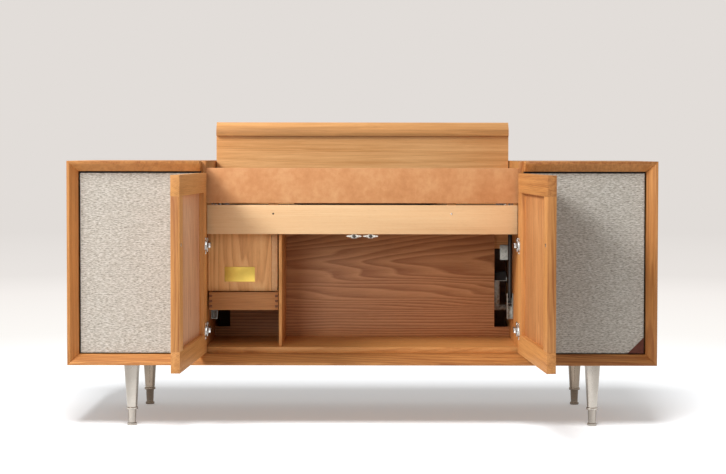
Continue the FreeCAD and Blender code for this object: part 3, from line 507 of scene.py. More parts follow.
def lay_grain(bm, key, axes=AXES, along=None, figure="plain", tone=0.0, ends=END_TONE, darker=None):
    """Gives each loose board its place in a tree: grain along its length, its wide face seen flat or on edge.

    darker, a function of the place, adds to the tone.
    """
    chance = random.Random(key)
    place = bm.verts.layers.float_vector.new("grain")
    shade = bm.verts.layers.float.new("tone")
    for board in islands(bm):
        points = [v.co for v in board]
        spans = [span(points, axis) for axis in axes]
        order = sorted(range(3), key=lambda i: spans[i][1] - spans[i][0])
        long = order[-1] if along is None else along
        thin, wide = [i for i in order if i != long]
        middle = [(low + high) / 2 for low, high in spans]
        start = chance.uniform(-3, 3)
        wide_range, thin_range, lean_range = FIGURES[figure]
        off_wide, off_thin = chance.uniform(*wide_range), chance.uniform(*thin_range)
        way = 1 if figure == "plain" else chance.choice((-1, 1))
        tilt = way * chance.uniform(*lean_range)
        board_tone = tone + chance.uniform(-0.10, 0.10)
        for vert in board:
            height = vert.co.dot(axes[long])
            u = height - middle[long]
            at_end = min(abs(height - tip) for tip in spans[long]) < END_SKIN
            v = vert.co.dot(axes[wide]) - middle[wide] + off_wide + tilt * u
            w = vert.co.dot(axes[thin]) - middle[thin] + off_thin + tilt * u
            vert[place] = (u + start, v, w)
            vert[shade] = board_tone + (ends if at_end else 0) + (darker(vert.co) if darker else 0)


CASE_EDGE = 0.9 * MM
LIP_TONE = 0.45  # how much darker the lid's lip is than its face: the lip takes back the painted light of the lid's wood
LIP_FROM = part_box("lid")[0].y + 5 * MM  # the lip lies in front of this plane
BOARDS = {
    # painted shade: the bottom is darkened for the right door's shadow on its right end
    "case_bottom": {"width": CASE_EDGE, "figure": "flat", "tone": 0.22},
    # painted shade: the left side is darkened where it faces away from the key lamp
    "case_side_left": {"width": CASE_EDGE, "tone": 0.10},
    # painted shade: the right side is darkened for the right door's shadow on it
    "case_side_right": {"width": CASE_EDGE, "tone": 0.30},
    "case_top_left": {"width": CASE_EDGE, "tone": -0.15},
    "case_top_right": {"width": CASE_EDGE},
    "case_top_rear": {"width": CASE_EDGE},
    "lid": {"width": CASE_EDGE, "finish": "lid_wood_painted_light", "darker": lambda p: LIP_TONE if p.y < LIP_FROM else 0},
    "uprights": {"along": UPRIGHT, "figure": "flat"},
    "bay_divider": {"along": UPRIGHT, "figure": "flat"},
    "bay_floor": {"figure": "flat", "tone": -0.20},
    "electronics_cover": {"finish": "cover_wood_painted_light", "along": UPRIGHT, "figure": "broad"},
    "apron": {"width": 1.2 * MM, "tone": -0.05},
    "electronics_box": {"width": 0.8 * MM},
    "well_supports": {},
    "tray_runners": {"width": 0.6 * MM},
    # painted shade: the back of the bay is darkened, deep in its recess
    "bay_back": {"width": 0.4 * MM, "finish": "ply", "figure": "broad", "tone": 0.25},
    "case_back": {"width": 0.6 * MM, "figure": "flat"},
}


def dress_board(node, finish=None, width=1.0 * MM, **grain):
    bm = welded(node)
    ease(bm, width)
    lay_grain(bm, node, **grain)
    new_piece("board_" + node, bm, finish or SLOT_OF[node], node)


# ---------------- doors
RAIL_H = 60 * MM
STILE_W = 58 * MM
# free is the stile that meets the other door. edge darkens that stile's edge, front the panel's outer face.
# tone lightens the frame as painted light, most on the left door, whose inner face is turned from the key lamp.
# front darkens the outer face, which on the left keeps the panel's painted sheen to its inner face.
LEAVES = {
    "left": {"panel": "pink_panel_painted_sheen", "free": "stile_right", "tone": -0.45, "edge": 0.75, "front": 0.2},
    "right": {"panel": "gold_panel", "free": "stile_left", "tone": -0.20, "edge": 0.35, "front": 0.1},
}


def leaf_at_rest(side):
    """Matrix that brings a shut door to where it stands at rest."""
    joint = JOINTS["door_%s_hinge" % side]
    pole = Matrix.Translation(Vector(joint["pos_m"]))
    shut = Matrix.Rotation(math.radians(joint["range_deg"][0]), 4, Vector(joint["axis"]))
    return (pole @ shut @ pole.inverted()).inverted()


def make_door(side):
    """Rails, stiles and panel, measured with the door shut and laid where it stands at rest."""
    look = LEAVES[side]
    rest = leaf_at_rest(side)
    shut = rest.inverted()
    axes = tuple(rest.to_3x3() @ axis for axis in AXES)
    node = "door_frame_" + side
    low, high = box_of(NODES[node].data.vertices, shut)
    z0, z1 = low.z + RAIL_H, high.z - RAIL_H
    free_x = high.x if side == "left" else low.x
    members = {
        "rail_low": (lambda p: p.z < z0, 0),
        "rail_top": (lambda p: p.z > z1, 0),
        "stile_left": (lambda p: z0 < p.z < z1 and p.x < low.x + STILE_W, UPRIGHT),
        "stile_right": (lambda p: z0 < p.z < z1 and p.x > high.x - STILE_W, UPRIGHT),
    }
    for index, (name, (test, along)) in enumerate(members.items()):
        bm = welded(node, lambda p, test=test: test(shut @ p))
        ease(bm, 1.0 * MM, shortest=9 * MM)
        key = "%s_%s" % (name, side)
        edge = look["edge"] if name == look["free"] else 0
        lay_grain(bm, key, axes, along, tone=look["tone"],
                  darker=lambda p, edge=edge: edge if abs((shut @ p).x - free_x) < END_SKIN else 0)
        new_piece("door_" + key, bm, "wood", node, replaces=index == 0)
    node = "door_panel_" + side
    bm = welded(node)
    ease(bm, 0.6 * MM)
    middle = sum(span([shut @ v.co for v in bm.verts], FORWARD)) / 2
    lay_grain(bm, node, axes, UPRIGHT, figure="flat",
              darker=lambda p: look["front"] if (shut @ p).y < middle else 0)
    new_piece("panel_" + side, bm, look["panel"], node)


# ---------------- soft covers
def make_band():
    """The band, a board wrapped in leather with soft edges, and the tab on a grille's corner."""
    dress("front_band", "leather_band", "leather", 2.2 * MM, segments=4)
    dress("leather_tab", "corner_tab", "dark_leather", 0.5 * MM)


CLOTH_STEP = 3.0 * MM
CLOTH_EDGE = 4.0 * MM  # how far the cloth rounds off at the edge of its frame
CLOTH_BOW = 0.35 * MM  # relief of the yarn's slubs
CLOTH_WRAP = 12 * MM  # how far the cloth goes back round its frame, behind the CAD cloth
SLUBS = (110, 260)  # per metre, across and up


def make_cloth(side):
    """One grille's cloth, drawn over its frame and round the edges, with the yarn's slubs as relief."""
    low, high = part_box("grille_cloths")
    inner = min(abs(v.co.x) for v in NODES["grille_cloths"].data.vertices)
    x0, x1 = (-high.x, -inner) if side == "left" else (inner, high.x)
    wide, tall = x1 - x0, high.z - low.z
    columns, rows = round(wide / CLOTH_STEP), round(tall / CLOTH_STEP)
    bm = bmesh.new()

    def point(i, j):
        x = x0 + wide * i / columns
        z = low.z + tall * j / rows
        rim = min(x - x0, x1 - x, z - low.z, high.z - z)
        fall = CLOTH_EDGE - min(rim, CLOTH_EDGE)
        back = CLOTH_EDGE - math.sqrt(max(CLOTH_EDGE ** 2 - fall ** 2, 0))
        slub = noise.fractal(Vector((x * SLUBS[0], 7.0, z * SLUBS[1])), 0.8, 2.0, 3)
        return Vector((x, low.y + min(back, high.y - low.y) + CLOTH_BOW * (1 - max(-1, min(1, slub))) / 2, z))

    grid = [[bm.verts.new(point(i, j)) for i in range(columns + 1)] for j in range(rows + 1)]
    for j in range(rows):
        for i in range(columns):
            bm.faces.new((grid[j][i], grid[j][i + 1], grid[j + 1][i + 1], grid[j + 1][i]))
    edge = [e for e in bm.edges if e.is_boundary]
    skirt = bmesh.ops.extrude_edge_only(bm, edges=edge)["geom"]
    rim_y = min(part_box("grille_frames")[1].y, high.y + CLOTH_WRAP)
    for vert in (g for g in skirt if isinstance(g, bmesh.types.BMVert)):
        vert.co.y = rim_y
    piece = new_piece("cloth_" + side, bm, "cloth", "grille_cloths")


# ---------------- turned pieces and plates
ARC_STEPS = 3
ON_AXIS = 1e-6  # a smaller radius is a point on the axis


def rounded(profile, radius):
    """A profile of (radius, height) points with its inner corners turned into arcs of a few points."""
    line = [Vector(p) for p in profile]
    made = [line[0]]
    for before, corner, after in zip(line, line[1:], line[2:]):
        into, away = before - corner, after - corner
        cut = min(radius, into.length * 0.45, away.length * 0.45)
        start, end = corner + into.normalized() * cut, corner + away.normalized() * cut
        for k in range(ARC_STEPS + 1):
            t = k / ARC_STEPS
            made.append(start * (1 - t) ** 2 + corner * 2 * t * (1 - t) + end * t * t)
    return made + [line[-1]]


def lathe(bm, profile, at, segments, axis=UPWARD):
    """Turns a profile of (radius, height) points round an axis, closed where it starts or ends on the axis.

    A radius may be a function of the angle.
    """
    turn = axis.to_track_quat("Z", "Y").to_matrix()
    rings = []
    for reach, height in profile:
        radius = reach if callable(reach) else lambda angle, reach=reach: reach
        count = 1 if radius(0) < ON_AXIS else segments
        angles = [math.tau * k / segments for k in range(count)]
        rings.append([bm.verts.new(Vector(at) + turn @ Vector((
            radius(a) * math.cos(a), radius(a) * math.sin(a), height))) for a in angles])
    for below, above in zip(rings, rings[1:]):
        for k in range(segments):
            corners = [below[k % len(below)], below[(k + 1) % len(below)],
                       above[(k + 1) % len(above)], above[k % len(above)]]
            ring = list(dict.fromkeys(corners))
            if len(ring) > 2:
                bm.faces.new(ring)


def rectangle(a0, a1, b0, b1):
    return [(a0, b0), (a1, b0), (a1, b1), (a0, b1)]


def offset(points, a=0, b=0):
    """Points given in mm from a base (a, b) in metres."""
    return [(a + x * MM, b + y * MM) for x, y in points]


def slab(bm, outline, axis, start, end):
    """A plate with an outline of (a, b) points, from start to end along an axis: 0, 1 or 2."""
    rings = []
    for level in (start, end):
        rings.append([bm.verts.new(Vector(p[:axis] + (level,) + p[axis:])) for p in outline])
    near, far = rings
    made = [bm.faces.new(near), bm.faces.new(far)]
    for k in range(len(outline)):
        made.append(bm.faces.new((near[k - 1], near[k], far[k], far[k - 1])))
    bmesh.ops.recalc_face_normals(bm, faces=made)


LEG = [(0, 0), (15, 0), (15, 7.5), (11.5, 7.5), (13.5, 50), (18.5, 50), (18.5, 57), (16, 57), (25, 194.5),
       (0, 194.5)]  # profile in mm
REAR_LEGS = 200 * MM  # the legs behind this plane get the darker leg metal, painted shade for their place under the case


def make_legs():
    for node in sorted(n for n in NODES if n.startswith("leg_")):
        low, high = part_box(node)
        middle = (low + high) / 2
        bm = bmesh.new()
        lathe(bm, rounded(offset(LEG), 1.2 * MM), (middle.x, middle.y, 0), 72)
        new_piece("spun_" + node, bm, "leg_metal" if middle.y < REAR_LEGS else "painted_shade_leg", node)


# ---------------- the finger-jointed tray
TRAY_WALL = 10 * MM
TRAY_FLOOR = 5 * MM
TRAY_FINGERS = 7
TRAY_END_TONE = 1.1  # the fingers' end grain stands out dark
GROOVE_DEPTH = 4 * MM
GROOVE_STOP = 14 * MM  # front end of the runner's groove, behind the tray's front
GROOVE_FIT = 0.3 * MM


def toothed(low, high, bottom, top, first):
    """Outline of a board whose two ends carry the fingers of a joint. first tells whose finger is lowest."""
    pitch = (top - bottom) / TRAY_FINGERS
    near, far = [], []
    for k in range(TRAY_FINGERS):
        inset = TRAY_WALL if (k + first) % 2 else 0
        levels = (bottom + k * pitch, bottom + (k + 1) * pitch)
        near += [(low + inset, z) for z in levels]
        far += [(high - inset, z) for z in levels]
    return far + near[::-1]


def carved(bm, cutter):
    """The mesh less the cutter's mesh."""
    whole, tool = [linked(name, to_mesh(name, part)) for name, part in (("whole", bm), ("cutter", cutter))]
    cut = whole.modifiers.new("cut", "BOOLEAN")
    cut.operation = "DIFFERENCE"
    cut.object = tool
    shape = whole.evaluated_get(bpy.context.evaluated_depsgraph_get())
    left = bmesh.new()
    left.from_mesh(shape.to_mesh())
    for item in (whole, tool):
        bpy.data.objects.remove(item)
    return left


def make_tray():
    low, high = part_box("record_tray")
    runner_low, runner_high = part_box("tray_runners")
    x0, x1, y0, y1 = low.x + TRAY_WALL, high.x - TRAY_WALL, low.y + TRAY_WALL, high.y - TRAY_WALL
    boards = {}
    for end, y in (("front", low.y), ("back", y1)):
        bm = bmesh.new()
        slab(bm, toothed(low.x, high.x, low.z, high.z, 0), 1, y, y + TRAY_WALL)
        boards[end] = (bm, 0)
    for side, x, outer in (("left", low.x, low.x), ("right", x1, high.x)):
        bm, groove = bmesh.new(), bmesh.new()
        slab(bm, toothed(low.y, high.y, low.z, high.z, 1), 0, x, x + TRAY_WALL)
        outline = rectangle(low.y + GROOVE_STOP, high.y + TRAY_WALL,
                            runner_low.z - GROOVE_FIT, runner_high.z + GROOVE_FIT)
        slab(groove, outline, 0, outer - GROOVE_DEPTH, outer + GROOVE_DEPTH)
        boards[side] = (carved(bm, groove), 1)
    bm = bmesh.new()
    slab(bm, rectangle(x0, x1, y0, y1), 2, low.z, low.z + TRAY_FLOOR)
    boards["floor"] = (bm, 0)
    for name, (bm, along) in boards.items():
        ease(bm, 0.5 * MM, shortest=3 * MM)
        lay_grain(bm, "tray_" + name, along=along, ends=TRAY_END_TONE, tone=0.05)
        new_piece("tray_" + name, bm, "tray_wood", "record_tray", replaces=name == "front")


# ---------------- small parts
SMALLEST_EDGE = 0.2 * MM
PART_EDGES = {  # in mm
    "catch_plunger_left": 0.4, "catch_plunger_right": 0.4,
    "hinge_arms": 0.5, "door_hardware_left": 0.3, "door_hardware_right": 0.3,
    "strut_brackets": 0.5, "strut_cylinders": 0.6, "lid_stops": 0.5, "lid_arms": 0.6, "lid_pivots": 0.5,
    "rear_frame": 0.5, "rear_buffers": 1.2, "isolation_pucks": 1.5, "turntable_feet": 1.5,
    "turntable_plinth": 1.6, "turntable_deck": 1.0, "tonearm_base": 0.5, "brass_plate": 0.3,
    "connector_plate": 0.4,
}


def dress_parts():
    """Metal, plastic and rubber pieces, with their edges rounded as the press, mould or lathe leaves them."""
    for node, width in PART_EDGES.items():
        dress(node, "part_" + node, SLOT_OF[node], width * MM, SMALLEST_EDGE)


# Radius and rise of the screws' heads.
HINGE_SCREW = (3.4 * MM, 1.2 * MM)
CUP_SCREW = (2.7 * MM, 0.9 * MM)
CATCH_SCREW = (2.2 * MM, 0.7 * MM)


def screw_head(bm, at, axis, radius, rise, sunk=1.0 * MM):
    """A domed head with a cross recess, its seat sunk into what it holds."""
    def cross(angle):
        along, beside = sorted((abs(math.cos(angle)), abs(math.sin(angle))), reverse=True)
        return min(0.60 * radius / along, 0.14 * radius / max(beside, 1e-3))

    lathe(bm, [(0, 0.2 * rise), (cross, 0.2 * rise), (cross, rise), (0.70 * radius, 0.94 * rise),
               (0.88 * radius, 0.62 * rise), (radius, 0), (radius, -sunk), (0, -sunk)], at, 48, axis)


HINGE_SCREW_UP = 15 * MM  # above and below the arm
HINGE_SCREW_IN = 17 * MM  # in front of the plate's rear edge
HINGE_PLATE = 3 * MM
CUP_IN = 22 * MM  # cup centre from the door's hinge edge
CUP_SCREW_UP = 22.4 * MM  # above and below the cup's centre
WING_T = 1.5 * MM  # of the cup's wings, which lie on the door


def make_hinge_screws():
    """Two screws through the plate of each hinge arm."""
    bm = bmesh.new()
    arms = welded("hinge_arms")
    for arm in islands(arms):
        low, high = box_of(arm)
        side = math.copysign(1, low.x + high.x)
        face = max(abs(low.x), abs(high.x)) - HINGE_PLATE
        for up in (-HINGE_SCREW_UP, HINGE_SCREW_UP):
            at = (side * face, high.y - HINGE_SCREW_IN, (low.z + high.z) / 2 + up)
            screw_head(bm, at, SIDEWAYS * -side, *HINGE_SCREW)
    arms.free()
    new_piece("hinge_plate_screws", bm, "steel", "hinge_arms", replaces=False)


def make_cup_screws(side):
    """Two screws through the wings of each hinge cup."""
    rest = leaf_at_rest(side)
    shut = rest.inverted()
    outward = (rest.to_3x3() @ FORWARD).normalized()
    frame_low, frame_high = box_of(NODES["door_frame_" + side].data.vertices, shut)
    edge = frame_low.x + CUP_IN if side == "left" else frame_high.x - CUP_IN
    bm = bmesh.new()
    metal_parts = welded("door_hardware_" + side)
    for solid in islands(metal_parts):
        low, high = box_of(solid, shut)
        if high.z - low.z > 2 * CUP_SCREW_UP:
            for up in (-CUP_SCREW_UP, CUP_SCREW_UP):
                at = rest @ Vector((edge, frame_high.y + WING_T, (low.z + high.z) / 2 + up))
                screw_head(bm, at, outward, *CUP_SCREW)
    metal_parts.free()
    new_piece("cup_screws_" + side, bm, "steel", "door_hardware_" + side, replaces=False)


CATCH_SCREW_OUT = 13.5 * MM  # to each side of the plunger
CATCH_H = 13 * MM
CATCH_BODY_W = 16 * MM
CATCH_FLANGE_T = 3 * MM
CATCH_TIP = 1.8 * MM  # radius of a flange's ends
CATCH_ROOT = 4.8 * MM  # half the height of its wings beside the round middle
FLANGE_STEPS = 64
DRILL_PAST = 1 * MM  # how far a drill's mesh starts outside what it bores


def flange_outline(middle, level, half_width, boss):
    """Outline of a catch's flange: two tapered wings on a round middle."""
    reach = half_width - CATCH_TIP
    above, below = [], []
    for k in range(1, FLANGE_STEPS):
        x = -half_width * math.cos(math.pi * k / FLANGE_STEPS)
        off = abs(x)
        tip = math.sqrt(max(CATCH_TIP ** 2 - (off - reach) ** 2, 0))
        half = tip if off > reach else CATCH_TIP + (CATCH_ROOT - CATCH_TIP) * (1 - off / reach)
        if off < boss:
            half = max(half, math.sqrt(boss ** 2 - off ** 2))
        above.append((middle + x, level + half))
        below.append((middle + x, level - half))
    return below + above[::-1]


def make_catches():
    """The two push catches: a winged flange and a body, bored for the plunger, with two screws each."""
    low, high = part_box("catch_bodies")
    half_h = CATCH_H / 2
    level = high.z - half_h
    flange_y = low.y + CATCH_FLANGE_T
    holders, screws = bmesh.new(), bmesh.new()
    for name in ("catch_plunger_left", "catch_plunger_right"):
        inner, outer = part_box(name)
        middle = (inner.x + outer.x) / 2

        def off_axis(point):
            return (Vector((point.x, 0, point.z)) - Vector((middle, 0, level))).length

        bore = [v.co for v in NODES["catch_bodies"].data.vertices if off_axis(v.co) < half_h - 0.1 * MM]
        radius = max(off_axis(p) for p in bore)
        deep = max(p.y for p in bore) - low.y + DRILL_PAST
        wings = flange_outline(middle, level, high.x - abs(middle), half_h)
        body = rectangle(middle - CATCH_BODY_W / 2, middle + CATCH_BODY_W / 2, level - half_h, level + half_h)
        for outline, start, end in ((wings, low.y, flange_y), (body, flange_y, high.y)):
            solid, drill = bmesh.new(), bmesh.new()
            slab(solid, outline, 1, start, end)
            lathe(drill, [(0, 0), (radius, 0), (radius, deep), (0, deep)],
                  (middle, low.y - DRILL_PAST, level), 40, FORWARD)
            holders.from_mesh(to_mesh(name, carved(solid, drill)))
        for out in (-CATCH_SCREW_OUT, CATCH_SCREW_OUT):
            screw_head(screws, (middle + out, low.y, level), -FORWARD, *CATCH_SCREW)
    ease(holders, 0.5 * MM, shortest=SMALLEST_EDGE)
    new_piece("catch_holders", holders, "white_plastic", "catch_bodies")
    new_piece("catch_screws", screws, "steel", "catch_bodies", replaces=False)


APRON_HEAD = 1.0 * MM  # rise of the apron screws' heads


def make_apron_screws():
    """The two screws of the apron, one of them darkened."""
    screws = welded("apron_screws")
    for index, screw in enumerate(sorted(islands(screws), key=lambda g: min(v.co.x for v in g))):
        low, high = box_of(screw)
        middle = (low + high) / 2
        radius = (high.z - low.z) / 2
        shank = high.y - low.y
        bm = bmesh.new()
        screw_head(bm, (middle.x, low.y + APRON_HEAD, middle.z), -FORWARD, radius, APRON_HEAD, sunk=0.4 * MM)
        lathe(bm, [(0, 0), (0.6 * radius, 0), (0.6 * radius, shank - 4 * MM), (0, shank - 1.2 * MM)],
              (middle.x, low.y + 1.2 * MM, middle.z), 24, FORWARD)
        name = ("apron_screw_left", "apron_screw_right")[index]
        new_piece(name, bm, ("dark_steel", "steel")[index], "apron_screws", replaces=index == 0)
    screws.free()


# ---------------- turntable
PLATTER_RIM = 18 * MM
SPINDLE_UP = 12 * MM  # above the platter's rim
MAT_T = 3 * MM
MAT_R = 139 * MM
MAT_PITCH = 6 * MM  # from groove to groove
LABEL_R = 50 * MM
# Profiles in mm: from the lower corner of the platter's rim, and from a groove's or the label's edge.
PLATTER_EDGE = [(-3, 0), (0, 3), (0, 8), (-1.2, 8.6), (-1.2, 9.4), (0, 10)]
GROOVE = [(0, 0), (-0.4, -0.7), (-1.6, -0.7), (-2, 0)]
LABEL_EDGE = [(-1, 0), (-2, -0.7)]


def make_platter():
    """A turned platter with a grooved rubber mat and its spindle."""
    low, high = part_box("platter")
    middle = (low + high) / 2
    centre = (middle.x, middle.y, 0)
    radius = (high.x - low.x) / 2
    top = high.z - SPINDLE_UP
    under = top - PLATTER_RIM
    bm = bmesh.new()
    profile = [(0, low.z), (6 * MM, low.z), (6 * MM, under), *offset(PLATTER_EDGE, radius, under),
               *offset([(0, -1.5), (-1.5, 0)], radius, top), *offset([(1, 0), (1, -3)], MAT_R, top),
               (0, top - MAT_T)]
    lathe(bm, rounded(profile, 0.8 * MM), centre, 160)
    new_piece("platter_disc", bm, "platter_metal", "platter")
    bm = bmesh.new()
    profile = [(0, top - MAT_T), *offset([(0, -3), (0, -0.5), (-0.5, 0)], MAT_R, top)]
    rim = MAT_R - 3 * MM
    while rim > LABEL_R:
        profile += offset(GROOVE, rim, top)
        rim -= MAT_PITCH
    lathe(bm, [*profile, *offset(LABEL_EDGE, LABEL_R, top), (0, top - 0.7 * MM)], centre, 128)
    new_piece("platter_mat", bm, "rubber", on="platter")
    bm = bmesh.new()
    profile = offset([(0, -3), (3.6, -3)], 0, top) + offset([(3.6, -4), (2.2, 0), (0, 0)], 0, high.z)
    lathe(bm, rounded(profile, 0.6 * MM), centre, 32)
    new_piece("platter_spindle", bm, "steel", on="platter")


TUBE_R = 4.5 * MM
TUBE_COLLAR = [(0, -16), (0.8, -15), (0.8, -6), (-0.8, -5), (-0.8, 0)]  # mm, from the tube's front edge
SHELL_LEN = 34 * MM
SHELL_T = 3.0 * MM
SHELL_PLAN = [(-5, 0), (5, 0), (9, 7), (9, 25), (5.5, 36), (-5.5, 36), (-9, 25), (-9, 7)]  # in mm
PICKUP_W = 12 * MM
PICKUP_H = 10.5 * MM  # below the tube's axis
PICKUP_FROM = 6 * MM  # its front and back, from the shell's tip
PICKUP_TO = 26 * MM
WEIGHT_R = 13 * MM
WEIGHT_LEN = 24 * MM
WEIGHT_FRONT = [(-1.5, 0), (-0.5, 1), (-0.5, 6)]  # mm, before and behind its grip
WEIGHT_BACK = [(-0.5, 18.6), (-0.5, 23), (-1.5, 24)]
WEIGHT_RIBS = 40
STUB_R = 3.5 * MM
ARM_HEAD_R = 11 * MM
ARM_HEAD_H = 14 * MM
ARM_POST_R = 7 * MM
KNOB_RIBS = 36
KNOB_H = 9 * MM  # of the part that is gripped
KNOB_TOP = [(-1.4, -0.5), (-2.4, 0), (-3.4, -0.3)]  # mm, from its upper edge


def ribbed(radius, depth, count):
    """A radius that waves round its circle: the ribs of a grip."""
    return lambda angle: radius - depth * (0.5 + 0.5 * math.cos(count * angle))


def make_tonearm():
    """Tube on its post, counterweight, headshell and pickup."""
    low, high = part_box("tonearm")
    pivot = Vector(JOINTS["tonearm_swing"]["pos_m"])
    axis_z = high.z - WEIGHT_R
    at = (pivot.x, pivot.y, axis_z)
    reach = pivot.y - low.y - SHELL_LEN
    stub = high.y - pivot.y - 1 * MM
    head_z0, head_z1 = axis_z - ARM_HEAD_H / 2, axis_z + ARM_HEAD_H / 2
    bm = bmesh.new()
    profile = [(0, 0), (TUBE_R, 0), *offset(TUBE_COLLAR, TUBE_R, reach), (0, reach)]
    lathe(bm, rounded(profile, 0.4 * MM), at, 40, -FORWARD)
    lathe(bm, rounded([(0, 0), (STUB_R, 0), (STUB_R, stub), (0, stub)], 0.4 * MM), at, 32, FORWARD)
    profile = [(0, low.z), (ARM_POST_R, low.z), (ARM_POST_R, head_z0), (ARM_HEAD_R, head_z0),
               *offset([(0, -2), (-3, 0)], ARM_HEAD_R, head_z1), (0, head_z1)]
    lathe(bm, rounded(profile, 0.7 * MM), (pivot.x, pivot.y, 0), 56)
    new_piece("tonearm_tube", bm, "steel", "tonearm")
    bm = bmesh.new()
    back, grip = high.y - pivot.y - WEIGHT_LEN, ribbed(WEIGHT_R, 0.5 * MM, WEIGHT_RIBS)
    lathe(bm, [(STUB_R, back), *offset(WEIGHT_FRONT, WEIGHT_R, back), (grip, back + 6.6 * MM),
               (grip, back + 18 * MM), *offset(WEIGHT_BACK, WEIGHT_R, back), (0, back + WEIGHT_LEN)],
          at, 160, FORWARD)
    slab(bm, offset(SHELL_PLAN, pivot.x, low.y), 2, axis_z - SHELL_T / 2, axis_z + SHELL_T / 2)
    new_piece("headshell", bm, "black_metal", on="tonearm")
    bm = bmesh.new()
    front, back, top, foot = low.y + PICKUP_FROM, low.y + PICKUP_TO, axis_z - SHELL_T / 2, axis_z - PICKUP_H
    slab(bm, [(front, top), (back, top), (back, foot), (front + 5 * MM, foot), (front, foot + 4 * MM)], 0,
         pivot.x - PICKUP_W / 2, pivot.x + PICKUP_W / 2)
    ease(bm, 0.5 * MM, shortest=SMALLEST_EDGE)
    new_piece("pickup", bm, "grey_plastic", on="tonearm")


def make_knob():
    """A ribbed knob with a raised pointer."""
    low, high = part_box("speed_knob")
    middle = (low + high) / 2
    radius = (high.x - low.x) / 2
    foot = high.z - KNOB_H
    grip = ribbed(radius, 0.45 * MM, KNOB_RIBS)
    bm = bmesh.new()
    lathe(bm, [(0, low.z), (3 * MM, low.z), (3 * MM, foot), (radius - 0.8 * MM, foot),
               (grip, foot + 0.8 * MM), (grip, high.z - 1.6 * MM), *offset(KNOB_TOP, radius, high.z),
               (0, high.z - 0.5 * MM)], (middle.x, middle.y, 0), 144)
    pointer = rectangle(middle.x - 0.5 * MM, middle.x + 0.5 * MM,
                        middle.y - radius + 3.6 * MM, middle.y - 2 * MM)
    slab(bm, pointer, 2, high.z - 1 * MM, high.z - 0.1 * MM)
    new_piece("ribbed_knob", bm, "leg_metal", "speed_knob")


# ---------------- connector plate
JACK_PITCH = 24 * MM
JACKS = [(10 * MM + JACK_PITCH * column, row * JACK_PITCH) for column in range(3) for row in (-0.5, 0.5)]
JACK_SLEEVE = [(5.05, 0), (7.4, 0), (7.4, 1.2), (5.6, 1.4)]  # mm, from the plate's outer face
JACK_MOUTH = [(5.6, -0.5), (5.05, -0.5)]  # mm, from the sleeve's outer end
JACK_CORE = [(0, -2), (4.2, -2), (4.2, -0.1), (2, -0.1), (1.7, -1.4), (0, -1.4)]  # mm, from its tip
CORE_OUT = 0.09 * MM
PLATE_T = 3 * MM
INLET = (-65 * MM, -37 * MM)
INLET_H = 21 * MM
INLET_DEPTH = 11 * MM
INLET_WALL = 1.2 * MM
INLET_FLUSH = 2.4 * MM  # how far the pocket reaches into the plate
PINS = [(-7 * MM, -2 * MM), (7 * MM, -2 * MM), (0, 3 * MM)]  # from the inlet's middle, sideways and up
PIN_HALF_W = 1 * MM
PIN_HALF_H = 2 * MM
PIN_SHORT = 1 * MM  # how far the pins end inside the pocket


def make_connectors():
    """Plated sleeves over the sockets, their cores, and the pocket of the power inlet with its three pins."""
    low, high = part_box("connector_plate")
    level = (low.z + high.z) / 2
    sleeves, cores, pocket, pins = [bmesh.new() for _ in range(4)]
    face = low.y + PLATE_T
    tip = high.y - face
    sleeve = offset(JACK_SLEEVE) + offset(JACK_MOUTH, 0, tip) + offset(JACK_SLEEVE[:1])
    for x, up in JACKS:
        lathe(sleeves, rounded(sleeve, 0.3 * MM), (x, face, level + up), 40, FORWARD)
        lathe(cores, rounded(offset(JACK_CORE, 0, tip), 0.2 * MM), (x, face + CORE_OUT, level + up), 32,
              FORWARD)
    x0, x1 = INLET
    z0, z1 = level - INLET_H / 2, level + INLET_H / 2
    back = low.y - INLET_DEPTH
    wall = INLET_WALL
    for outline in (rectangle(x0, x1, z0, z0 + wall), rectangle(x0, x1, z1 - wall, z1),
                    rectangle(x0, x0 + wall, z0 + wall, z1 - wall),
                    rectangle(x1 - wall, x1, z0 + wall, z1 - wall)):
        slab(pocket, outline, 1, back + wall, low.y + INLET_FLUSH)
    slab(pocket, rectangle(x0, x1, z0, z1), 1, back, back + wall)
    for out, up in PINS:
        x, z = (x0 + x1) / 2 + out, level + up
        slab(pins, rectangle(x - PIN_HALF_W, x + PIN_HALF_W, z - PIN_HALF_H, z + PIN_HALF_H), 1,
             back + wall, low.y - PIN_SHORT)
    for name, bm, finish in (("jack_sleeves", sleeves, "brass"), ("jack_cores", cores, "white_plastic"),
                             ("inlet_pocket", pocket, "black_metal"), ("inlet_pins", pins, "steel")):
        new_piece(name, bm, finish, on="connector_plate")


# ---------------- other CAD pieces
def finish_kept_nodes():
    """Every CAD node that is still shown gets its finish."""
    for name, node in NODES.items():
        if not node.hide_render:
            node.material_slots[0].material = FINISH[SLOT_OF[name]]


# ---------------- floor and light
BACKDROP = srgb(226, 221, 217)
FLOOR_R = 90
FLOOR_DOWN = 0.2 * MM  # below the feet
REAL_SHADE = 1.3  # the floor shows its real shade out to here
FLOOR_NEAR = 3.0  # only its painted tone from here
FLOOR_FAR = 13.0  # and the backdrop's tone from here
FLOOR_LIFT = 0.27  # glow that brings the lit floor to the painted tone
WORLD_FILL = 0.43
LAMPS = {  # place, aim, size and watts
    "key": ((-3.45, -2.2, 3.65), (0, 0, 0.5), 1.3, 215),
    "front": ((-1.7, -4.8, 2.0), (0, 0, 0.5), 1.6, 54),
    "overhead": ((-0.3, -1.75, 4.0), (0, 0, 0), 2.2, 340),
}
FLOOR_LAMP = "overhead"  # lights only the floor, and the others everything else


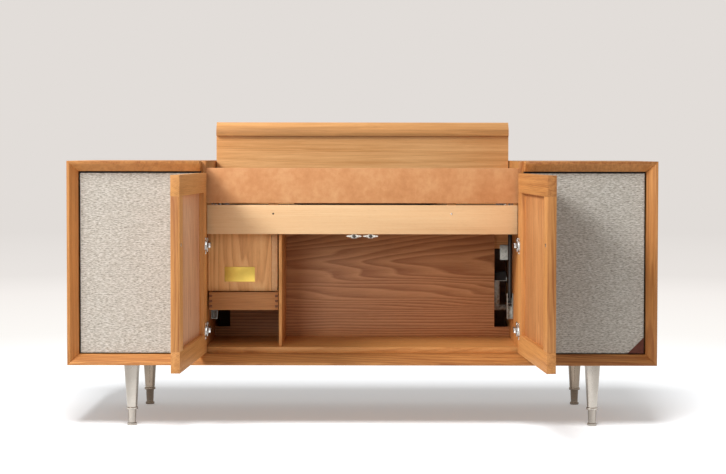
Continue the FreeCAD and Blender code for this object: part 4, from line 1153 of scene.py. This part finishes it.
def stage():
    """Floor: real shade near the object, and for the rays that see the background a fade to the backdrop.

    To other rays it is a darker floor, so that it throws little light back on the object.
    """
    s = Shader("stage", Roughness=0.9, Specular_IOR_Level=0.0)
    seen = seen_rays(s.tree)
    s.feed(s.surface.inputs["Base Color"], s.mix(seen, srgb(164, 164, 164), srgb(231, 234, 237)))
    far = s.vector("LENGTH", s.vector("MULTIPLY", s.place(), (1, 1, 0)), output="Value")
    tone = s.ramp(s.remap(far, 0.0, FLOOR_FAR), (0.2, srgb(255, 252, 248)), (0.40, srgb(246, 241, 237)),
                  (0.52, srgb(234, 229, 225)), (1.0, BACKDROP))
    painted = s.node("ShaderNodeEmission", Color=tone).outputs[0]
    lift = s.node("ShaderNodeEmission", Color=srgb(255, 252, 248), Strength=FLOOR_LIFT).outputs[0]
    none = s.node("ShaderNodeEmission", Strength=0.0).outputs[0]
    lit = s.row("ShaderNodeAddShader", s.surface.outputs[0], s.blend(seen, none, lift)).outputs[0]
    fade = s.math("MULTIPLY", s.remap(far, REAL_SHADE, FLOOR_NEAR), seen)
    s.feed(s.output.inputs[0], s.blend(fade, lit, painted))


def make_floor():
    bm = bmesh.new()
    bmesh.ops.create_circle(bm, cap_ends=True, segments=96, radius=FLOOR_R)
    mesh = to_mesh("floor", bm)
    stage()
    mesh.materials.append(FINISH["stage"])
    floor = linked("floor", mesh)
    floor.location.z = -FLOOR_DOWN
    return floor


def make_lamp(name, at, aim, size, watts, floor):
    data = bpy.data.lights.new(name, "AREA")
    data.shape = "SQUARE"
    data.size = size
    data.energy = watts
    lamp = linked(name, data)
    lamp.location = at
    lamp.rotation_euler = (Vector(aim) - Vector(at)).to_track_quat("-Z", "Y").to_euler()
    group = bpy.data.collections.new(name + "_receivers")
    group.objects.link(floor)
    lamp.light_linking.receiver_collection = group
    group.collection_objects[0].light_linking.link_state = "INCLUDE" if name == FLOOR_LAMP else "EXCLUDE"


def make_world():
    """An even fill of light, and the backdrop for the rays that see it."""
    world = bpy.data.worlds.new("studio")
    bpy.context.scene.world = world
    world.use_nodes = True
    tree = world.node_tree
    tree.nodes.clear()
    fill, backdrop, both, output = [tree.nodes.new("ShaderNode" + kind) for kind in (
        "Background", "Background", "MixShader", "OutputWorld")]
    fill.inputs["Color"].default_value = (1, 1, 1, 1)
    fill.inputs["Strength"].default_value = WORLD_FILL
    backdrop.inputs["Color"].default_value = BACKDROP
    for source, socket in ((seen_rays(tree), both.inputs[0]), (fill.outputs[0], both.inputs[1]),
                           (backdrop.outputs[0], both.inputs[2]), (both.outputs[0], output.inputs[0])):
        tree.links.new(source, socket)


# ---------------- the scene
def main():
    bpy.context.scene.view_settings.view_transform = "Standard"
    make_camera()
    for node, look in BOARDS.items():
        dress_board(node, **look)
    for side in ("left", "right"):
        make_door(side)
        make_cloth(side)
        make_cup_screws(side)
    make_band()
    make_legs()
    make_tray()
    dress_parts()
    make_hinge_screws()
    make_catches()
    make_apron_screws()
    make_platter()
    make_tonearm()
    make_knob()
    make_connectors()
    finish_kept_nodes()
    floor = make_floor()
    make_world()
    for name, lamp in LAMPS.items():
        make_lamp(name, *lamp, floor)


main()
